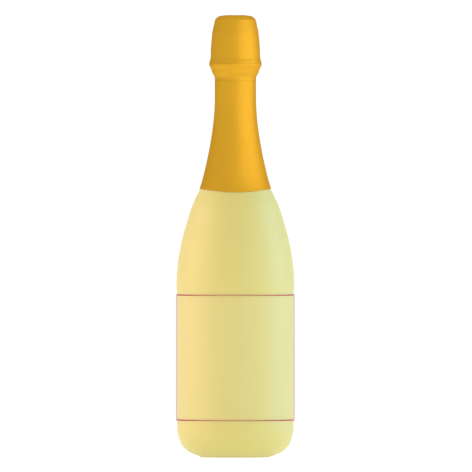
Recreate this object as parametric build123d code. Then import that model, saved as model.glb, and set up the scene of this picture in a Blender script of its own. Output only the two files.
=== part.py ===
"""Sparkling wine bottle with its cork, wire cage, foil and clear label, in millimetres.

+Z runs up the bottle's axis, the origin is the centre of the ring it stands on, and -Y is the front.
Azimuths are in degrees from +X, so the front is at 270 and the wire cage's loop is at the back, at 90.
"""
from build123d import *
import math
import os

# Glass bottle, outside
glass_height = 300.5
body_radius = 43.0
panel_recess = 0.5
panel_bottom = 22.0
panel_step_height = 1.5
band_height = 1.8
neck_length = 37.2
neck_radius = 14.6
standing_ring_radius = 27.0
standing_ring_width = 3.0
punt_depth = 27.0

# Share of the way in from the body to the neck, and share of the way up the shoulder
shoulder_shares = (
    (0.046, 0.146),
    (0.141, 0.251),
    (0.285, 0.356),
    (0.468, 0.461),
    (0.592, 0.512),
    (0.688, 0.571),
    (0.835, 0.701),
    (0.926, 0.806),
    (0.984, 0.911),
)
# Share of the way out from the standing ring to the panel, and share of the panel's height above the base
heel_shares = ((0.387, 0.150), (0.665, 0.295), (0.826, 0.440), (0.935, 0.640))
heel_start_slope_share = 0.42
# Shares of the punt's own radius and depth
punt_shares = ((0.86, 0.26), (0.66, 0.63), (0.38, 0.91))
punt_start_slope_share = 0.35

# Glass bottle, inside
body_wall = 5.1
neck_wall = 4.4
floor_thickness = 6.5
bore_radius = 8.95
bore_length = 29.0
bore_flare_length = 9.0
mouth_edge = 0.8
# Share of the cavity's radius, and share of the height of the floor's peak
floor_shares = (
    (0.945, 0.354),
    (0.800, 0.185),
    (0.685, 0.246),
    (0.570, 0.492),
    (0.406, 0.800),
    (0.216, 0.969),
)
floor_wall_share = 0.65

# Finish of the mouth: the lip, and below it the bead that the wire cage hooks under
lip_inset = 0.4
lip_height = 7.3
lip_edge = 1.4
lip_neck_recess = 0.5
bead_rise = 2.7
bead_height = 8.0
bead_drop = 13.3

# Wine
fill_level_drop = 80.0
wine_clearance = 0.1

# Cork
cork_inserted_length = 24.0
cork_disc_thickness = 5.5
cork_clearance = 0.1
cork_seat_gap = 0.05
cork_head_radius = 15.45
cork_head_height = 17.6
# Shares of the head's radius and height, from its underside up to where the cap holds it
cork_underside_shares = ((0.800, 0.030), (0.955, 0.130))
cork_side_shares = ((1.000, 0.300), (0.970, 0.536), (0.912, 0.779))
cork_crown_shares = ((0.880, 0.862), (0.800, 0.945), (0.760, 1.000))

# Wire cage and its cap
leg_count = 4
first_leg_azimuth = 45.0
leg_wire_diameter = 1.3
ring_wire_diameter = 1.0
belt_wire_diameter = 1.1
wire_slack = 0.1
leg_end_angle = 46.0
cap_radius = 13.1
cap_sheet = 0.3
cap_rim_height = 1.2
cap_dome_radius = 9.6
cap_dome_height = 1.6
cap_dome_slope = 0.9
cap_seat_gap = 0.05

# Twisted pull loop of the wire cage
loop_wire_diameter = 1.1
loop_root_azimuth = 64.0
loop_length = 13.5
loop_width = 6.4
loop_drop = 3.2
loop_stem_start = 0.9
loop_stem_length = 2.0
stub_wire_diameter = 1.3

# Foil
foil_thickness = 0.3
foil_slack = 0.15
foil_gap = 0.15
skirt_length = 78.5
skirt_drop = 26.0
tear_gap = 0.2
hood_edge_rise = 0.25
top_disc_crown = 2.4
# Share of the way out from the cork's widest place to the bead, and share of the way down between them
hood_waist_shares = ((0.19, 0.24), (0.36, 0.48), (0.40, 0.71), (0.53, 0.83), (0.86, 0.93))
# Share of the way in from the hood's edge to the axis, and share of the disc's height
top_disc_shares = ((0.035, 0.23), (0.10, 0.52), (0.19, 0.76), (0.33, 0.88))
strip_belt_bulge = 0.45
strip_foot_height = 1.9
strip_belt_drop = 2.7
# How far down round the bead the strip follows it, as a share of the legs' own end angle
strip_wrap_share = 1.25
blister_start_azimuth = 60.0
blister_end_azimuth = 120.0
blister_floor = 0.3

# Tear tab
tab_start_azimuth = 124.0
tab_end_azimuth = 152.0
tab_width = 4.6
tab_drop = 2.2
tab_lift = 0.3

# Label
label_height = 91.9
label_margin_below = 4.9
label_margin_above = 1.2
label_thickness = 0.2
label_gap = 0.1
label_start_azimuth = 180.0
label_end_azimuth = 360.0

# Share of the shorter run beside it that each bend of a wire takes up
bend_share = 0.45
# Where the bends of a leg's hook lie, and where the strip's outline follows the bead, as shares of an angle
hook_shares = (1 / 3, 2 / 3, 1)
# How far cutting tools run past what they cut
overrun = 5.0

label_bottom = panel_bottom + label_margin_below
panel_top = label_bottom + label_height + label_margin_above
shoulder_start = panel_top + panel_step_height + band_height
neck_start = glass_height - neck_length
panel_radius = body_radius - panel_recess
punt_radius = standing_ring_radius - standing_ring_width
cavity_radius = body_radius - body_wall
cavity_neck_radius = neck_radius - neck_wall
floor_peak = punt_depth + floor_thickness
bead_centre_height = glass_height - bead_drop
bead_radius = neck_radius + bead_rise
lip_radius = neck_radius - lip_inset
bead_arc_radius = ((bead_height / 2) ** 2 + bead_rise**2) / (2 * bead_rise)
bead_arc_centre = bead_radius - bead_arc_radius
leg_radius = leg_wire_diameter / 2
wrap_build = wire_slack + leg_wire_diameter + foil_slack + foil_thickness
bump_radius = bead_radius + wrap_build
cork_head_base = glass_height + cork_seat_gap
cork_top = cork_head_base + cork_head_height
cap_flange_top = cork_top + cap_seat_gap + cap_sheet
hood_top = cap_flange_top + hood_edge_rise
overall_height = hood_top + leg_wire_diameter + top_disc_crown
skirt_top = glass_height - skirt_drop
skirt_bottom = skirt_top - skirt_length
hood_top_radius = cap_radius + wrap_build
belt_radius = neck_radius + wire_slack + belt_wire_diameter / 2
loop_track_radius = bead_radius + 2 * wire_slack + foil_slack + loop_wire_diameter / 2


def at(radius, height):
    """A point of a turned outline."""
    return (radius, 0, height)


def around(radius, height, azimuth):
    """A point on a circle about the bottle's axis."""
    angle = math.radians(azimuth)
    return Vector(radius * math.cos(angle), radius * math.sin(angle), height)


def line_through(points):
    """Straight edges from each point to the next."""
    return [Line(start, end) for start, end in zip(points, points[1:])]


def turned(edges):
    """Solid turned about the bottle's axis from a closed outline."""
    return revolve(make_face(edges), axis=Axis.Z)


def turned_sheet(points, thickness):
    """Thin turned wall: a smooth line through the points is its outside."""
    outside = Spline(*[at(radius, height) for radius, height in points])
    inside = Spline(*[at(radius - thickness, height) for radius, height in points])
    ends = [Line(outside @ 0, inside @ 0), Line(outside @ 1, inside @ 1)]
    return turned([outside, inside, *ends])


def sector(radius, bottom, top, start_azimuth=0, end_azimuth=360):
    """Wedge of a solid disc between two azimuths, or the whole disc."""
    outline = [at(0, bottom), at(radius, bottom), at(radius, top), at(0, top), at(0, bottom)]
    wedge = revolve(make_face(line_through(outline)), axis=Axis.Z, revolution_arc=end_azimuth - start_azimuth)
    return Rot(0, 0, start_azimuth) * wedge


def turned_wire(radius, height, wire_diameter):
    """Ring of round wire about the bottle's axis."""
    return Pos(0, 0, height) * Torus(radius, wire_diameter / 2)


def bend_radii(points):
    """The bend at each inner point of a wire's route, as large as its two runs allow."""
    radii = []
    for before, here, after in zip(points, points[1:], points[2:]):
        arriving, leaving = here - before, after - here
        half_turn = math.radians(arriving.get_angle(leaving)) / 2
        radii.append(min(arriving.length, leaving.length) * bend_share / math.tan(half_turn))
    return radii


def wire_along(points, wire_diameter):
    """Round wire along straight runs joined by tangent bends."""
    route = FilletPolyline(*points, radius=bend_radii(points))
    section = Plane(origin=route @ 0, z_dir=route % 0) * Circle(wire_diameter / 2)
    return sweep(section, path=route)


def shoulder_line(foot_radius, top_radius):
    """Smooth line from the body up to the neck; glass, cavity, wine and foil all follow its shape."""
    span = neck_start - shoulder_start
    points = [at(foot_radius, shoulder_start)]
    for inward, upward in shoulder_shares:
        points.append(at(foot_radius - inward * (foot_radius - top_radius), shoulder_start + upward * span))
    points.append(at(top_radius, neck_start))
    return Spline(*points, tangents=((0, 0, 1), (0, 0, 1)))


def heel_line():
    """Rounded heel from the standing ring up to the label panel."""
    reach = panel_radius - standing_ring_radius
    points = [at(standing_ring_radius, 0)]
    for outward, upward in heel_shares:
        points.append(at(standing_ring_radius + outward * reach, upward * panel_bottom))
    points.append(at(panel_radius, panel_bottom))
    return Spline(*points, tangents=((1, 0, heel_start_slope_share), (0, 0, 1)))


def punt_line():
    """Hollow under the bottle, from its peak on the axis down to the standing ring."""
    points = [at(out * punt_radius, up * punt_depth) for out, up in reversed(punt_shares)]
    points = [at(0, punt_depth), *points, at(punt_radius, 0)]
    return Spline(*points, tangents=((1, 0, 0), (punt_start_slope_share, 0, -1)))


def floor_line(clearance):
    """Inside of the floor, from the peak over the punt, through the trough, up to the wall."""
    wall_radius = cavity_radius - clearance
    points = [at(out * cavity_radius, up * floor_peak + clearance) for out, up in reversed(floor_shares)]
    points[-1] = (points[-1][0] - clearance, 0, points[-1][2])
    points = [at(0, floor_peak + clearance), *points, at(wall_radius, floor_wall_share * floor_peak)]
    return Spline(*points, tangents=((1, 0, 0), (0, 0, 1)))


def mouth_outline():
    """Outside of the neck's upper end: the bead, the narrow place above it and the lip."""
    half_bead = bead_height / 2
    bead = ThreePointArc(
        at(neck_radius, bead_centre_height - half_bead),
        at(bead_radius, bead_centre_height),
        at(neck_radius, bead_centre_height + half_bead),
    )
    lip_bottom = glass_height - lip_height
    narrow_radius = lip_radius - lip_neck_recess
    round_share = 1 - math.sqrt(0.5)
    lip_round = ThreePointArc(
        at(lip_radius, glass_height - lip_edge),
        at(lip_radius - lip_edge * round_share, glass_height - lip_edge * round_share),
        at(lip_radius - lip_edge, glass_height),
    )
    return [
        bead,
        Line(bead @ 1, at(narrow_radius, bead_centre_height + half_bead)),
        Line(at(narrow_radius, bead_centre_height + half_bead), at(narrow_radius, lip_bottom)),
        Line(at(narrow_radius, lip_bottom), at(lip_radius, lip_bottom + lip_neck_recess)),
        Line(at(lip_radius, lip_bottom + lip_neck_recess), lip_round @ 0),
        lip_round,
        Line(lip_round @ 1, at(bore_radius + mouth_edge, glass_height)),
    ]


def bore_outline():
    """Inside of the mouth: the chamfered edge, the straight bore for the cork and its flare below."""
    return line_through([
        at(bore_radius + mouth_edge, glass_height),
        at(bore_radius, glass_height - mouth_edge),
        at(bore_radius, glass_height - bore_length),
        at(cavity_neck_radius, glass_height - bore_length - bore_flare_length),
        at(cavity_neck_radius, neck_start),
    ])


def glass_bottle():
    """Bottle of one piece of glass, hollow, with a punt under it and a finish for cork and wire cage."""
    punt = punt_line()
    heel = heel_line()
    shoulder = shoulder_line(body_radius, neck_radius)
    cavity_shoulder = shoulder_line(cavity_radius, cavity_neck_radius)
    floor = floor_line(0)
    panel = line_through([
        heel @ 1,
        at(panel_radius, panel_top),
        at(body_radius, panel_top + panel_step_height),
        shoulder @ 0,
    ])
    return turned([
        punt,
        Line(punt @ 1, heel @ 0),
        heel,
        *panel,
        shoulder,
        Line(shoulder @ 1, at(neck_radius, bead_centre_height - bead_height / 2)),
        *mouth_outline(),
        *bore_outline(),
        cavity_shoulder,
        Line(cavity_shoulder @ 0, floor @ 1),
        floor,
        Line(floor @ 0, punt @ 0),
    ])


def sparkling_wine():
    """The wine, a running gap inside the cavity, up to its fill level in the neck."""
    floor = floor_line(wine_clearance)
    shoulder = shoulder_line(cavity_radius - wine_clearance, cavity_neck_radius - wine_clearance)
    top = bore_flare_length + neck_start
    whole = turned([
        floor,
        Line(floor @ 1, shoulder @ 0),
        shoulder,
        Line(shoulder @ 1, at(cavity_neck_radius - wine_clearance, top)),
        Line(at(cavity_neck_radius - wine_clearance, top), at(0, top)),
        Line(at(0, top), floor @ 0),
    ])
    fill_level = glass_height - fill_level_drop
    return whole & sector(body_radius, 0, fill_level)


def cork_pieces():
    """Cork of agglomerated granules with two discs of natural cork at its wet end."""
    stem_radius = bore_radius - cork_clearance
    foot = glass_height - cork_inserted_length
    body_foot = foot + 2 * cork_disc_thickness
    sides = [(out * cork_head_radius, cork_head_base + up * cork_head_height)
             for out, up in (*cork_underside_shares, *cork_side_shares, *cork_crown_shares)]
    head = Spline(at(stem_radius, cork_head_base), *[at(*point) for point in sides])
    body = turned([
        *line_through([at(0, body_foot), at(stem_radius, body_foot), at(stem_radius, cork_head_base)]),
        head,
        *line_through([head @ 1, at(0, cork_top), at(0, body_foot)]),
    ])
    disc = Cylinder(stem_radius, cork_disc_thickness, align=(Align.CENTER, Align.CENTER, Align.MIN))
    return {
        "cork_body": body,
        "cork_upper_disc": Pos(0, 0, foot + cork_disc_thickness) * disc,
        "cork_lower_disc": Pos(0, 0, foot) * disc,
    }


def cage_cap():
    """Pressed metal cap on the cork: a raised middle, a channel for the wire ring and a turned-down rim."""
    flange = cork_top + cap_seat_gap
    dome_foot = cap_dome_radius + cap_dome_slope
    under = [
        (0, flange + cap_dome_height),
        (cap_dome_radius - cap_sheet, flange + cap_dome_height),
        (dome_foot - cap_sheet, flange),
        (cap_radius - cap_sheet, flange),
        (cap_radius - cap_sheet, flange - cap_rim_height),
    ]
    over = [
        (cap_radius, flange - cap_rim_height),
        (cap_radius, flange + cap_sheet),
        (dome_foot, flange + cap_sheet),
        (cap_dome_radius, flange + cap_dome_height + cap_sheet),
        (0, flange + cap_dome_height + cap_sheet),
    ]
    outline = [at(*point) for point in (*under, *over, under[0])]
    return turned(line_through(outline))


def hood_line():
    """Outside of the foil over the cork and the cage, as radius and height, from its lower edge up."""
    out, up = cork_side_shares[0]
    widest = (out * cork_head_radius + wrap_build, cork_head_base + up * cork_head_height)
    foot = bead_centre_height + tear_gap
    points = [(bump_radius, foot)]
    for outward, down in reversed(hood_waist_shares):
        radius = widest[0] + outward * (bump_radius - widest[0])
        points.append((radius, widest[1] - down * (widest[1] - foot)))
    for out, up in cork_side_shares:
        points.append((out * cork_head_radius + wrap_build, cork_head_base + up * cork_head_height))
    points.append((hood_top_radius, hood_top))
    return points


def cage_leg(azimuth):
    """One leg of the cage, from the ring on the cap, down beside the cork, round the bead to the belt."""
    inset = foil_thickness + foil_slack + leg_radius
    shoulder_height = cap_flange_top + wire_slack + leg_radius
    start_radius = cap_dome_radius + cap_dome_slope + wire_slack + ring_wire_diameter + wire_slack
    down = [(radius - inset, height) for radius, height in reversed(hood_line())]
    down[0] = (cap_radius + wire_slack + leg_radius, shoulder_height)
    bend = bead_arc_radius + wire_slack + leg_radius
    angles = [math.radians(share * leg_end_angle) for share in hook_shares]
    hook = [(bead_arc_centre + bend * math.cos(angle), bead_centre_height - bend * math.sin(angle))
            for angle in angles]
    route = [(start_radius, shoulder_height), *down, *hook]
    return wire_along([around(radius, height, azimuth) for radius, height in route], leg_wire_diameter)


def belt_height():
    """Height of the belt wire, seated against the underside of the bead."""
    across = belt_radius - bead_arc_centre
    reach = bead_arc_radius + wire_slack + belt_wire_diameter / 2
    return bead_centre_height - math.sqrt(reach**2 - across**2)


def loop_height():
    """Height of the middle of the pull loop."""
    return belt_height() - loop_drop


def loop_root(radius):
    """Point at the loop's hinge azimuth."""
    return around(radius, loop_height(), loop_root_azimuth)


def cage_belt():
    """Belt wire round the neck under the bead, with the twisted stub that carries the loop."""
    belt = turned_wire(belt_radius, belt_height(), belt_wire_diameter)
    start = around(belt_radius, belt_height(), loop_root_azimuth)
    end = loop_root(loop_track_radius - loop_stem_start / 2)
    stub_run = end - start
    stub = Plane(origin=start, z_dir=stub_run) * Cylinder(
        stub_wire_diameter / 2, stub_run.length, align=(Align.CENTER, Align.CENTER, Align.MIN)
    )
    return belt + stub


def cage_loop():
    """Pull loop, folded round the neck: a short twisted stem and an oval of wire."""
    middle = loop_height()

    def on_track(along, up):
        azimuth = loop_root_azimuth + math.degrees(along / loop_track_radius)
        return around(loop_track_radius, middle + up, azimuth)

    half = (loop_width - loop_wire_diameter) / 2
    near = loop_stem_start + loop_stem_length
    halfway = (near + loop_length) / 2
    upper_side = [
        on_track(near, loop_wire_diameter / 2),
        on_track(near + half, half),
        on_track(halfway, half),
        on_track(loop_length - half, half),
    ]
    lower_side = [
        on_track(loop_length - half, -half),
        on_track(halfway, -half),
        on_track(near + half, -half),
        on_track(near, -loop_wire_diameter / 2),
    ]
    oval = wire_along([*upper_side, on_track(loop_length, 0), *lower_side], loop_wire_diameter)
    stem_start = on_track(loop_stem_start, 0)
    stem_run = on_track(near + loop_wire_diameter / 2, 0) - stem_start
    stem = Plane(origin=stem_start, z_dir=stem_run) * Cylinder(
        stub_wire_diameter / 2, stem_run.length, align=(Align.CENTER, Align.CENTER, Align.MIN)
    )
    return oval + stem


def foil_hood():
    """Foil over the cork and the cage, above the tear strip."""
    return turned_sheet(hood_line(), foil_thickness)


def foil_top_disc():
    """Pressed foil disc that closes the hood's top."""
    foot = hood_top + tear_gap / 2
    rise = overall_height - foot
    points = [(hood_top_radius, foot)]
    for inward, up in top_disc_shares:
        points.append((hood_top_radius * (1 - inward), foot + up * rise))
    outside = Spline(*[at(*point) for point in points], at(0, overall_height),
                     tangents=((0, 0, 1), (-1, 0, 0)))
    outer = turned([outside, Line(outside @ 1, at(0, foot)), Line(at(0, foot), outside @ 0)])
    lowered = [(radius - foil_thickness, height) for radius, height in points]
    inside = Spline(*[at(*point) for point in lowered], at(0, overall_height - foil_thickness),
                    tangents=((0, 0, 1), (-1, 0, 0)))
    inner = turned([inside, Line(inside @ 1, at(0, foot)), Line(at(0, foot), inside @ 0)])
    return outer - inner


def strip_line():
    """Outside of the tear strip over the belt and bead, as radius and height, up to the tear line."""
    foot = skirt_top + tear_gap
    neck_foil = neck_radius + foil_gap + foil_thickness
    belt_foil = belt_radius + belt_wire_diameter / 2 + foil_slack + foil_thickness + strip_belt_bulge
    reach = bead_arc_radius + wrap_build
    points = [
        (neck_foil, foot + strip_foot_height),
        (belt_foil, belt_height() - strip_belt_drop),
    ]
    for share in (*reversed(hook_shares[:-1]), 0):
        angle = math.radians(share * leg_end_angle * strip_wrap_share)
        radius = bead_arc_centre + reach * math.cos(angle)
        points.append((radius, bead_centre_height - reach * math.sin(angle)))
    return points


def foil_tear_strip():
    """Band of foil torn off to open the bottle, with a blister over the folded wire loop."""
    points = strip_line()
    foot = skirt_top + tear_gap
    top = points[-1][1]

    def filled(inset):
        upright = (0, 0, 1)
        side = Spline(*[at(radius - inset, height) for radius, height in points], tangents=(upright, upright))
        edge = at(points[0][0] - inset, foot)
        return turned([side, *line_through([side @ 1, at(0, top), at(0, foot), edge, side @ 0])])

    outer = filled(0) + sector(bump_radius, foot, top, blister_start_azimuth, blister_end_azimuth)
    wall_angle = math.degrees(foil_thickness / bump_radius)
    hollow = sector(
        bump_radius - foil_thickness,
        foot + blister_floor,
        top + overrun,
        blister_start_azimuth + wall_angle,
        blister_end_azimuth - wall_angle,
    )
    return outer - filled(foil_thickness) - hollow


def foil_tear_tab():
    """Free end of the tear strip, the tab that is pulled to open the foil."""
    middle = belt_height() - tab_drop
    bottom = middle - tab_width / 2
    inner = bump_radius - wrap_build + tab_lift
    plate = sector(inner + foil_thickness, bottom, bottom + tab_width, tab_start_azimuth, tab_end_azimuth)
    core = sector(inner, bottom - overrun, bottom + tab_width + overrun)
    return plate - core


def foil_skirt():
    """Foil wrapped round the neck and the top of the shoulder, below the tear strip."""
    def wrapped(offset):
        line = shoulder_line(body_radius + offset, neck_radius + offset)
        neck = Line(line @ 1, at(neck_radius + offset, skirt_top))
        closing = line_through([neck @ 1, at(0, skirt_top), at(0, shoulder_start), line @ 0])
        return turned([line, neck, *closing])

    shell = wrapped(foil_gap + foil_thickness) - wrapped(foil_gap)
    return shell & sector(body_radius, skirt_bottom, skirt_top)


def label_film():
    """Clear label round the front half of the panel."""
    inner = panel_radius + label_gap
    top = label_bottom + label_height
    film = sector(inner + label_thickness, label_bottom, top, label_start_azimuth, label_end_azimuth)
    core = sector(inner, label_bottom - overrun, top + overrun)
    return film - core


def all_nodes():
    """Every sub-part by its name."""
    ring_radius = cap_dome_radius + cap_dome_slope + wire_slack + ring_wire_diameter / 2
    ring_height = cap_flange_top + wire_slack / 2 + ring_wire_diameter / 2
    nodes = {
        "glass_bottle": glass_bottle(),
        "sparkling_wine": sparkling_wine(),
        **cork_pieces(),
        "cage_cap": cage_cap(),
        "cage_top_ring": turned_wire(ring_radius, ring_height, ring_wire_diameter),
        "cage_belt": cage_belt(),
        "cage_loop": cage_loop(),
        "foil_hood": foil_hood(),
        "foil_top_disc": foil_top_disc(),
        "foil_tear_strip": foil_tear_strip(),
        "foil_tear_tab": foil_tear_tab(),
        "foil_skirt": foil_skirt(),
        "label_film": label_film(),
    }
    for number in range(leg_count):
        azimuth = first_leg_azimuth + number * 360 / leg_count
        nodes[f"cage_leg_{number + 1}"] = cage_leg(azimuth)
    return nodes


os.makedirs("parts", exist_ok=True)
for name, solid in all_nodes().items():
    export_step(solid, f"parts/{name}.step")
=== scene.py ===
"""Looks of a sparkling wine bottle: satin glass, pale wine, gold foil, wire cage, cork and a clear label.

Everything is in metres, in the part's own frame: +Z up the bottle, -Y its front, azimuths from +X.
"""

import logging
import math
from dataclasses import dataclass, field
from enum import Enum
from typing import Callable

import bpy
import numpy as np
from mathutils import Matrix, Vector, noise


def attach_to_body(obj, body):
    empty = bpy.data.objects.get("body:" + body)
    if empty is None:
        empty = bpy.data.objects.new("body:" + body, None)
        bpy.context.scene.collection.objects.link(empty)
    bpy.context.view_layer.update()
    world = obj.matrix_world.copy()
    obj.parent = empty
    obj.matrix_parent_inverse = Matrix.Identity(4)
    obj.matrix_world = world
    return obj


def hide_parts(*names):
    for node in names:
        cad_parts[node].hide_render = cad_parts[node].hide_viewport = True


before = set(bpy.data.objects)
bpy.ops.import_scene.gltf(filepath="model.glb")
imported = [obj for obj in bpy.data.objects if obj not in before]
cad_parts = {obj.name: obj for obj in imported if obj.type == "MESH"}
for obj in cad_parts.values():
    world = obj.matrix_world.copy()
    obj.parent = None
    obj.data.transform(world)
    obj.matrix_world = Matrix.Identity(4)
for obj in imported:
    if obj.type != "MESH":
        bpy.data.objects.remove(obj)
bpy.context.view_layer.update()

Point = tuple[float, float]
Colour = tuple[float, float, float]
Rule = Callable[[float, float, float], Point]
Piece = bpy.types.Object
Socket = bpy.types.NodeSocket

MM = 0.001
TURN = 2 * math.pi
UP: Point = (0.0, 1.0)
OUT: Point = (1.0, 0.0)
IN: Point = (-1.0, 0.0)

# Faces that meet at less than this are shaded as one surface.
SMOOTH_ANGLE = math.radians(40)
# Faces round a turned piece.
AROUND = 160
# Points that are closer than this are one point.
WELD = 0.001 * MM
# A wire's fineness round itself; how much of a run each bend takes and where its points lie along it.
WIRE_ROUNDNESS = 2
BEND_SHARE = 0.45
BEND_STEPS = (0, 0.2, 0.4, 0.6, 0.8, 1)
# Where the cage's legs come down, in degrees.
LEG_AZIMUTHS = (45.0, 135.0, 225.0, 315.0)
# Pressed cork: how far and how finely its granules' outlines wobble, and how wide their joints are.
WOBBLE = 0.003
WOBBLE_SCALE = 700.0
JOINT_WIDTH = 0.07
# Natural cork: how its grain is stretched, and the noise values between which a pore starts.
LENTICEL_STRETCH = (0.35, 1.0, 1.6)
PORE_EDGE = (0.6, 0.66)
# The mould's marks on the glass.
SEAM_WIDTH = 0.5 * MM
KNURL_HEIGHT = 2.2 * MM
KNURLS = 110.0

log = logging.getLogger("bottle")


class Kind(Enum):
    """Kinds of socket that a node group has."""

    NUMBER = "NodeSocketFloat"
    COLOUR = "NodeSocketColor"


class Pattern(Enum):
    """Patterns that finishes draw on, by the name of their node group."""

    DRIFT = "colour_drift"
    GRAIN = "surface_grain"
    GRANULES = "cork_granules"
    LENTICELS = "cork_lenticels"
    MOULD = "mould_marks"


class Body(Enum):
    """Bodies of the part that a piece can ride on."""

    BOTTLE = "bottle"
    TAB = "tear_tab"
    CORK = "cork"
    CAGE = "cage"
    LOOP = "pull_loop"
    HOOD = "hood"


class Slot(Enum):
    """Material slots that a piece takes its finish from."""

    GLASS = "bottle_glass"
    WINE = "wine"
    AGGLOMERATE = "agglomerated_cork"
    CORK = "natural_cork"
    CAP = "cap_metal"
    WIRE = "cage_wire"
    FOIL = "foil_gold"
    LABEL = "label_film"


def colour(red: int, green: int, blue: int) -> Colour:
    """Turn a screen colour into a scene colour.

    Args:
        red: red from 0 to 255.
        green: green from 0 to 255.
        blue: blue from 0 to 255.

    Returns:
        The linear colour that shaders read.
    """
    def linear(value: int) -> float:
        """One channel on the linear scale."""
        share = value / 255
        return share / 12.92 if share <= 0.04045 else ((share + 0.055) / 1.055) ** 2.4

    return linear(red), linear(green), linear(blue)


class Graph:
    """Short way to lay out the nodes of a material or a node group."""

    def __init__(self, tree: bpy.types.NodeTree) -> None:
        """Start with the tree that nodes are added to."""
        self.tree = tree

    def node(self, kind: str, inputs: dict[str, object] | None = None, **settings: object) -> bpy.types.Node:
        """Add one node.

        Args:
            kind: Blender's name of the node.
            inputs: values or sockets for its inputs, by socket name.
            **settings: properties of the node itself.

        Returns:
            The new node.
        """
        made = self.tree.nodes.new(kind)
        for name, value in settings.items():
            setattr(made, name, value)
        for name, value in (inputs or {}).items():
            self.feed(made.inputs[name], value)
        return made

    def feed(self, socket: Socket, value: object) -> None:
        """Link a socket to another, or set its plain value.

        Args:
            socket: the socket that is fed.
            value: a socket, a number or a colour.
        """
        if isinstance(value, Socket):
            self.tree.links.new(value, socket)
        elif isinstance(value, tuple) and len(value) == 3 and socket.type == "RGBA":
            socket.default_value = (*value, 1.0)
        else:
            socket.default_value = value

    def place(self) -> Socket:
        """Socket with the place on the piece, in the part's own frame."""
        return self.node("ShaderNodeTexCoord").outputs["Object"]

    def calculate(self, operation: str, *values: object, use_clamp: bool = False) -> Socket:
        """Add a math node.

        Args:
            operation: Blender's name of the operation.
            *values: numbers or sockets for its inputs, in their order.
            use_clamp: whether the result stays between 0 and 1.

        Returns:
            The socket with the result.
        """
        made = self.node("ShaderNodeMath", operation=operation, use_clamp=use_clamp)
        for socket, value in zip(made.inputs, values):
            self.feed(socket, value)
        return made.outputs[0]

    def noise(self, place: Socket, scale: object, detail: float) -> bpy.types.NodeOutputs:
        """Add a noise texture and return its outputs."""
        return self.node("ShaderNodeTexNoise", {"Vector": place, "Scale": scale, "Detail": detail}).outputs

    def pattern(self, pattern: Pattern, inputs: dict[str, object] | None = None) -> bpy.types.NodeOutputs:
        """Add a pattern's node group and return its outputs."""
        return self.node("ShaderNodeGroup", inputs, node_tree=GROUPS[pattern]).outputs

    def ranged(self, value: Socket, before: tuple[object, object], after: Point,
               curve: str = "LINEAR") -> Socket:
        """Carry a value from one range to another and keep it inside.

        Args:
            value: the socket with the value.
            before: both ends of the range that it comes from, as numbers or sockets.
            after: what both ends become.
            curve: Blender's name of the way between them.

        Returns:
            The socket with the result.
        """
        ends = {"From Min": before[0], "From Max": before[1], "To Min": after[0], "To Max": after[1]}
        made = self.node("ShaderNodeMapRange", {"Value": value, **ends}, interpolation_type=curve)
        return made.outputs["Result"]

    def mixed(self, share: object, first: object, second: object, way: str = "MIX") -> Socket:
        """Mix two colours.

        Args:
            share: how much the second one counts, from 0 to 1.
            first: the first colour.
            second: the second colour.
            way: Blender's name of the way of mixing.

        Returns:
            The socket with the mixed colour.
        """
        made = self.node("ShaderNodeMixRGB", {"Fac": share, "Color1": first, "Color2": second},
                         blend_type=way)
        return made.outputs["Color"]

    def give(self, results: dict[str, Socket]) -> bpy.types.NodeTree:
        """End a node group with its results, by name, and return the group."""
        self.node("NodeGroupOutput", results)
        return self.tree


def new_group(pattern: Pattern, inputs: dict[str, float | Colour],
              outputs: dict[str, Kind]) -> tuple[Graph, dict[str, Socket]]:
    """Make an empty node group with named sockets.

    Args:
        pattern: the pattern that the group is for.
        inputs: default value of each input, by name; a colour has three numbers.
        outputs: kind of each output, by name.

    Returns:
        The group's graph and its input sockets, by name.
    """
    tree = bpy.data.node_groups.new(pattern.value, "ShaderNodeTree")
    for label, default in inputs.items():
        plain = isinstance(default, float)
        kind = Kind.NUMBER if plain else Kind.COLOUR
        socket = tree.interface.new_socket(label, in_out="INPUT", socket_type=kind.value)
        socket.default_value = default if plain else (*default, 1.0)
    for label, kind in outputs.items():
        tree.interface.new_socket(label, in_out="OUTPUT", socket_type=kind.value)
    graph = Graph(tree)
    entry = graph.node("NodeGroupInput")
    return graph, {label: entry.outputs[label] for label in inputs}


def build_drift_group() -> bpy.types.NodeTree:
    """Build the group that drifts a colour lighter and darker in soft patches over the surface.

    Returns:
        The group.
    """
    graph, given = new_group(Pattern.DRIFT, {"Colour": (0.8, 0.8, 0.8), "Scale": 40.0, "Amount": 0.1},
                             {"Colour": Kind.COLOUR})
    patches = graph.noise(graph.place(), given["Scale"], detail=3.0)["Fac"]
    swing = graph.calculate("MULTIPLY_ADD", graph.calculate("SUBTRACT", patches, 0.5), given["Amount"], 1.0)
    shade = graph.node("ShaderNodeHueSaturation", {"Color": given["Colour"], "Value": swing})
    return graph.give({"Colour": shade.outputs["Color"]})


def build_grain_group() -> bpy.types.NodeTree:
    """Build the group of fine surface grain as a height, stretched along the bottle if asked.

    Returns:
        The group.
    """
    graph, given = new_group(Pattern.GRAIN, {"Scale": 900.0, "Stretch": 1.0}, {"Height": Kind.NUMBER})
    axes = graph.node("ShaderNodeSeparateXYZ", {"Vector": graph.place()}).outputs
    upright = graph.calculate("DIVIDE", axes["Z"], given["Stretch"])
    placed = graph.node("ShaderNodeCombineXYZ", {"X": axes["X"], "Y": axes["Y"], "Z": upright})
    texture = graph.noise(placed.outputs["Vector"], given["Scale"], detail=3.0)
    return graph.give({"Height": texture["Fac"]})


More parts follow.
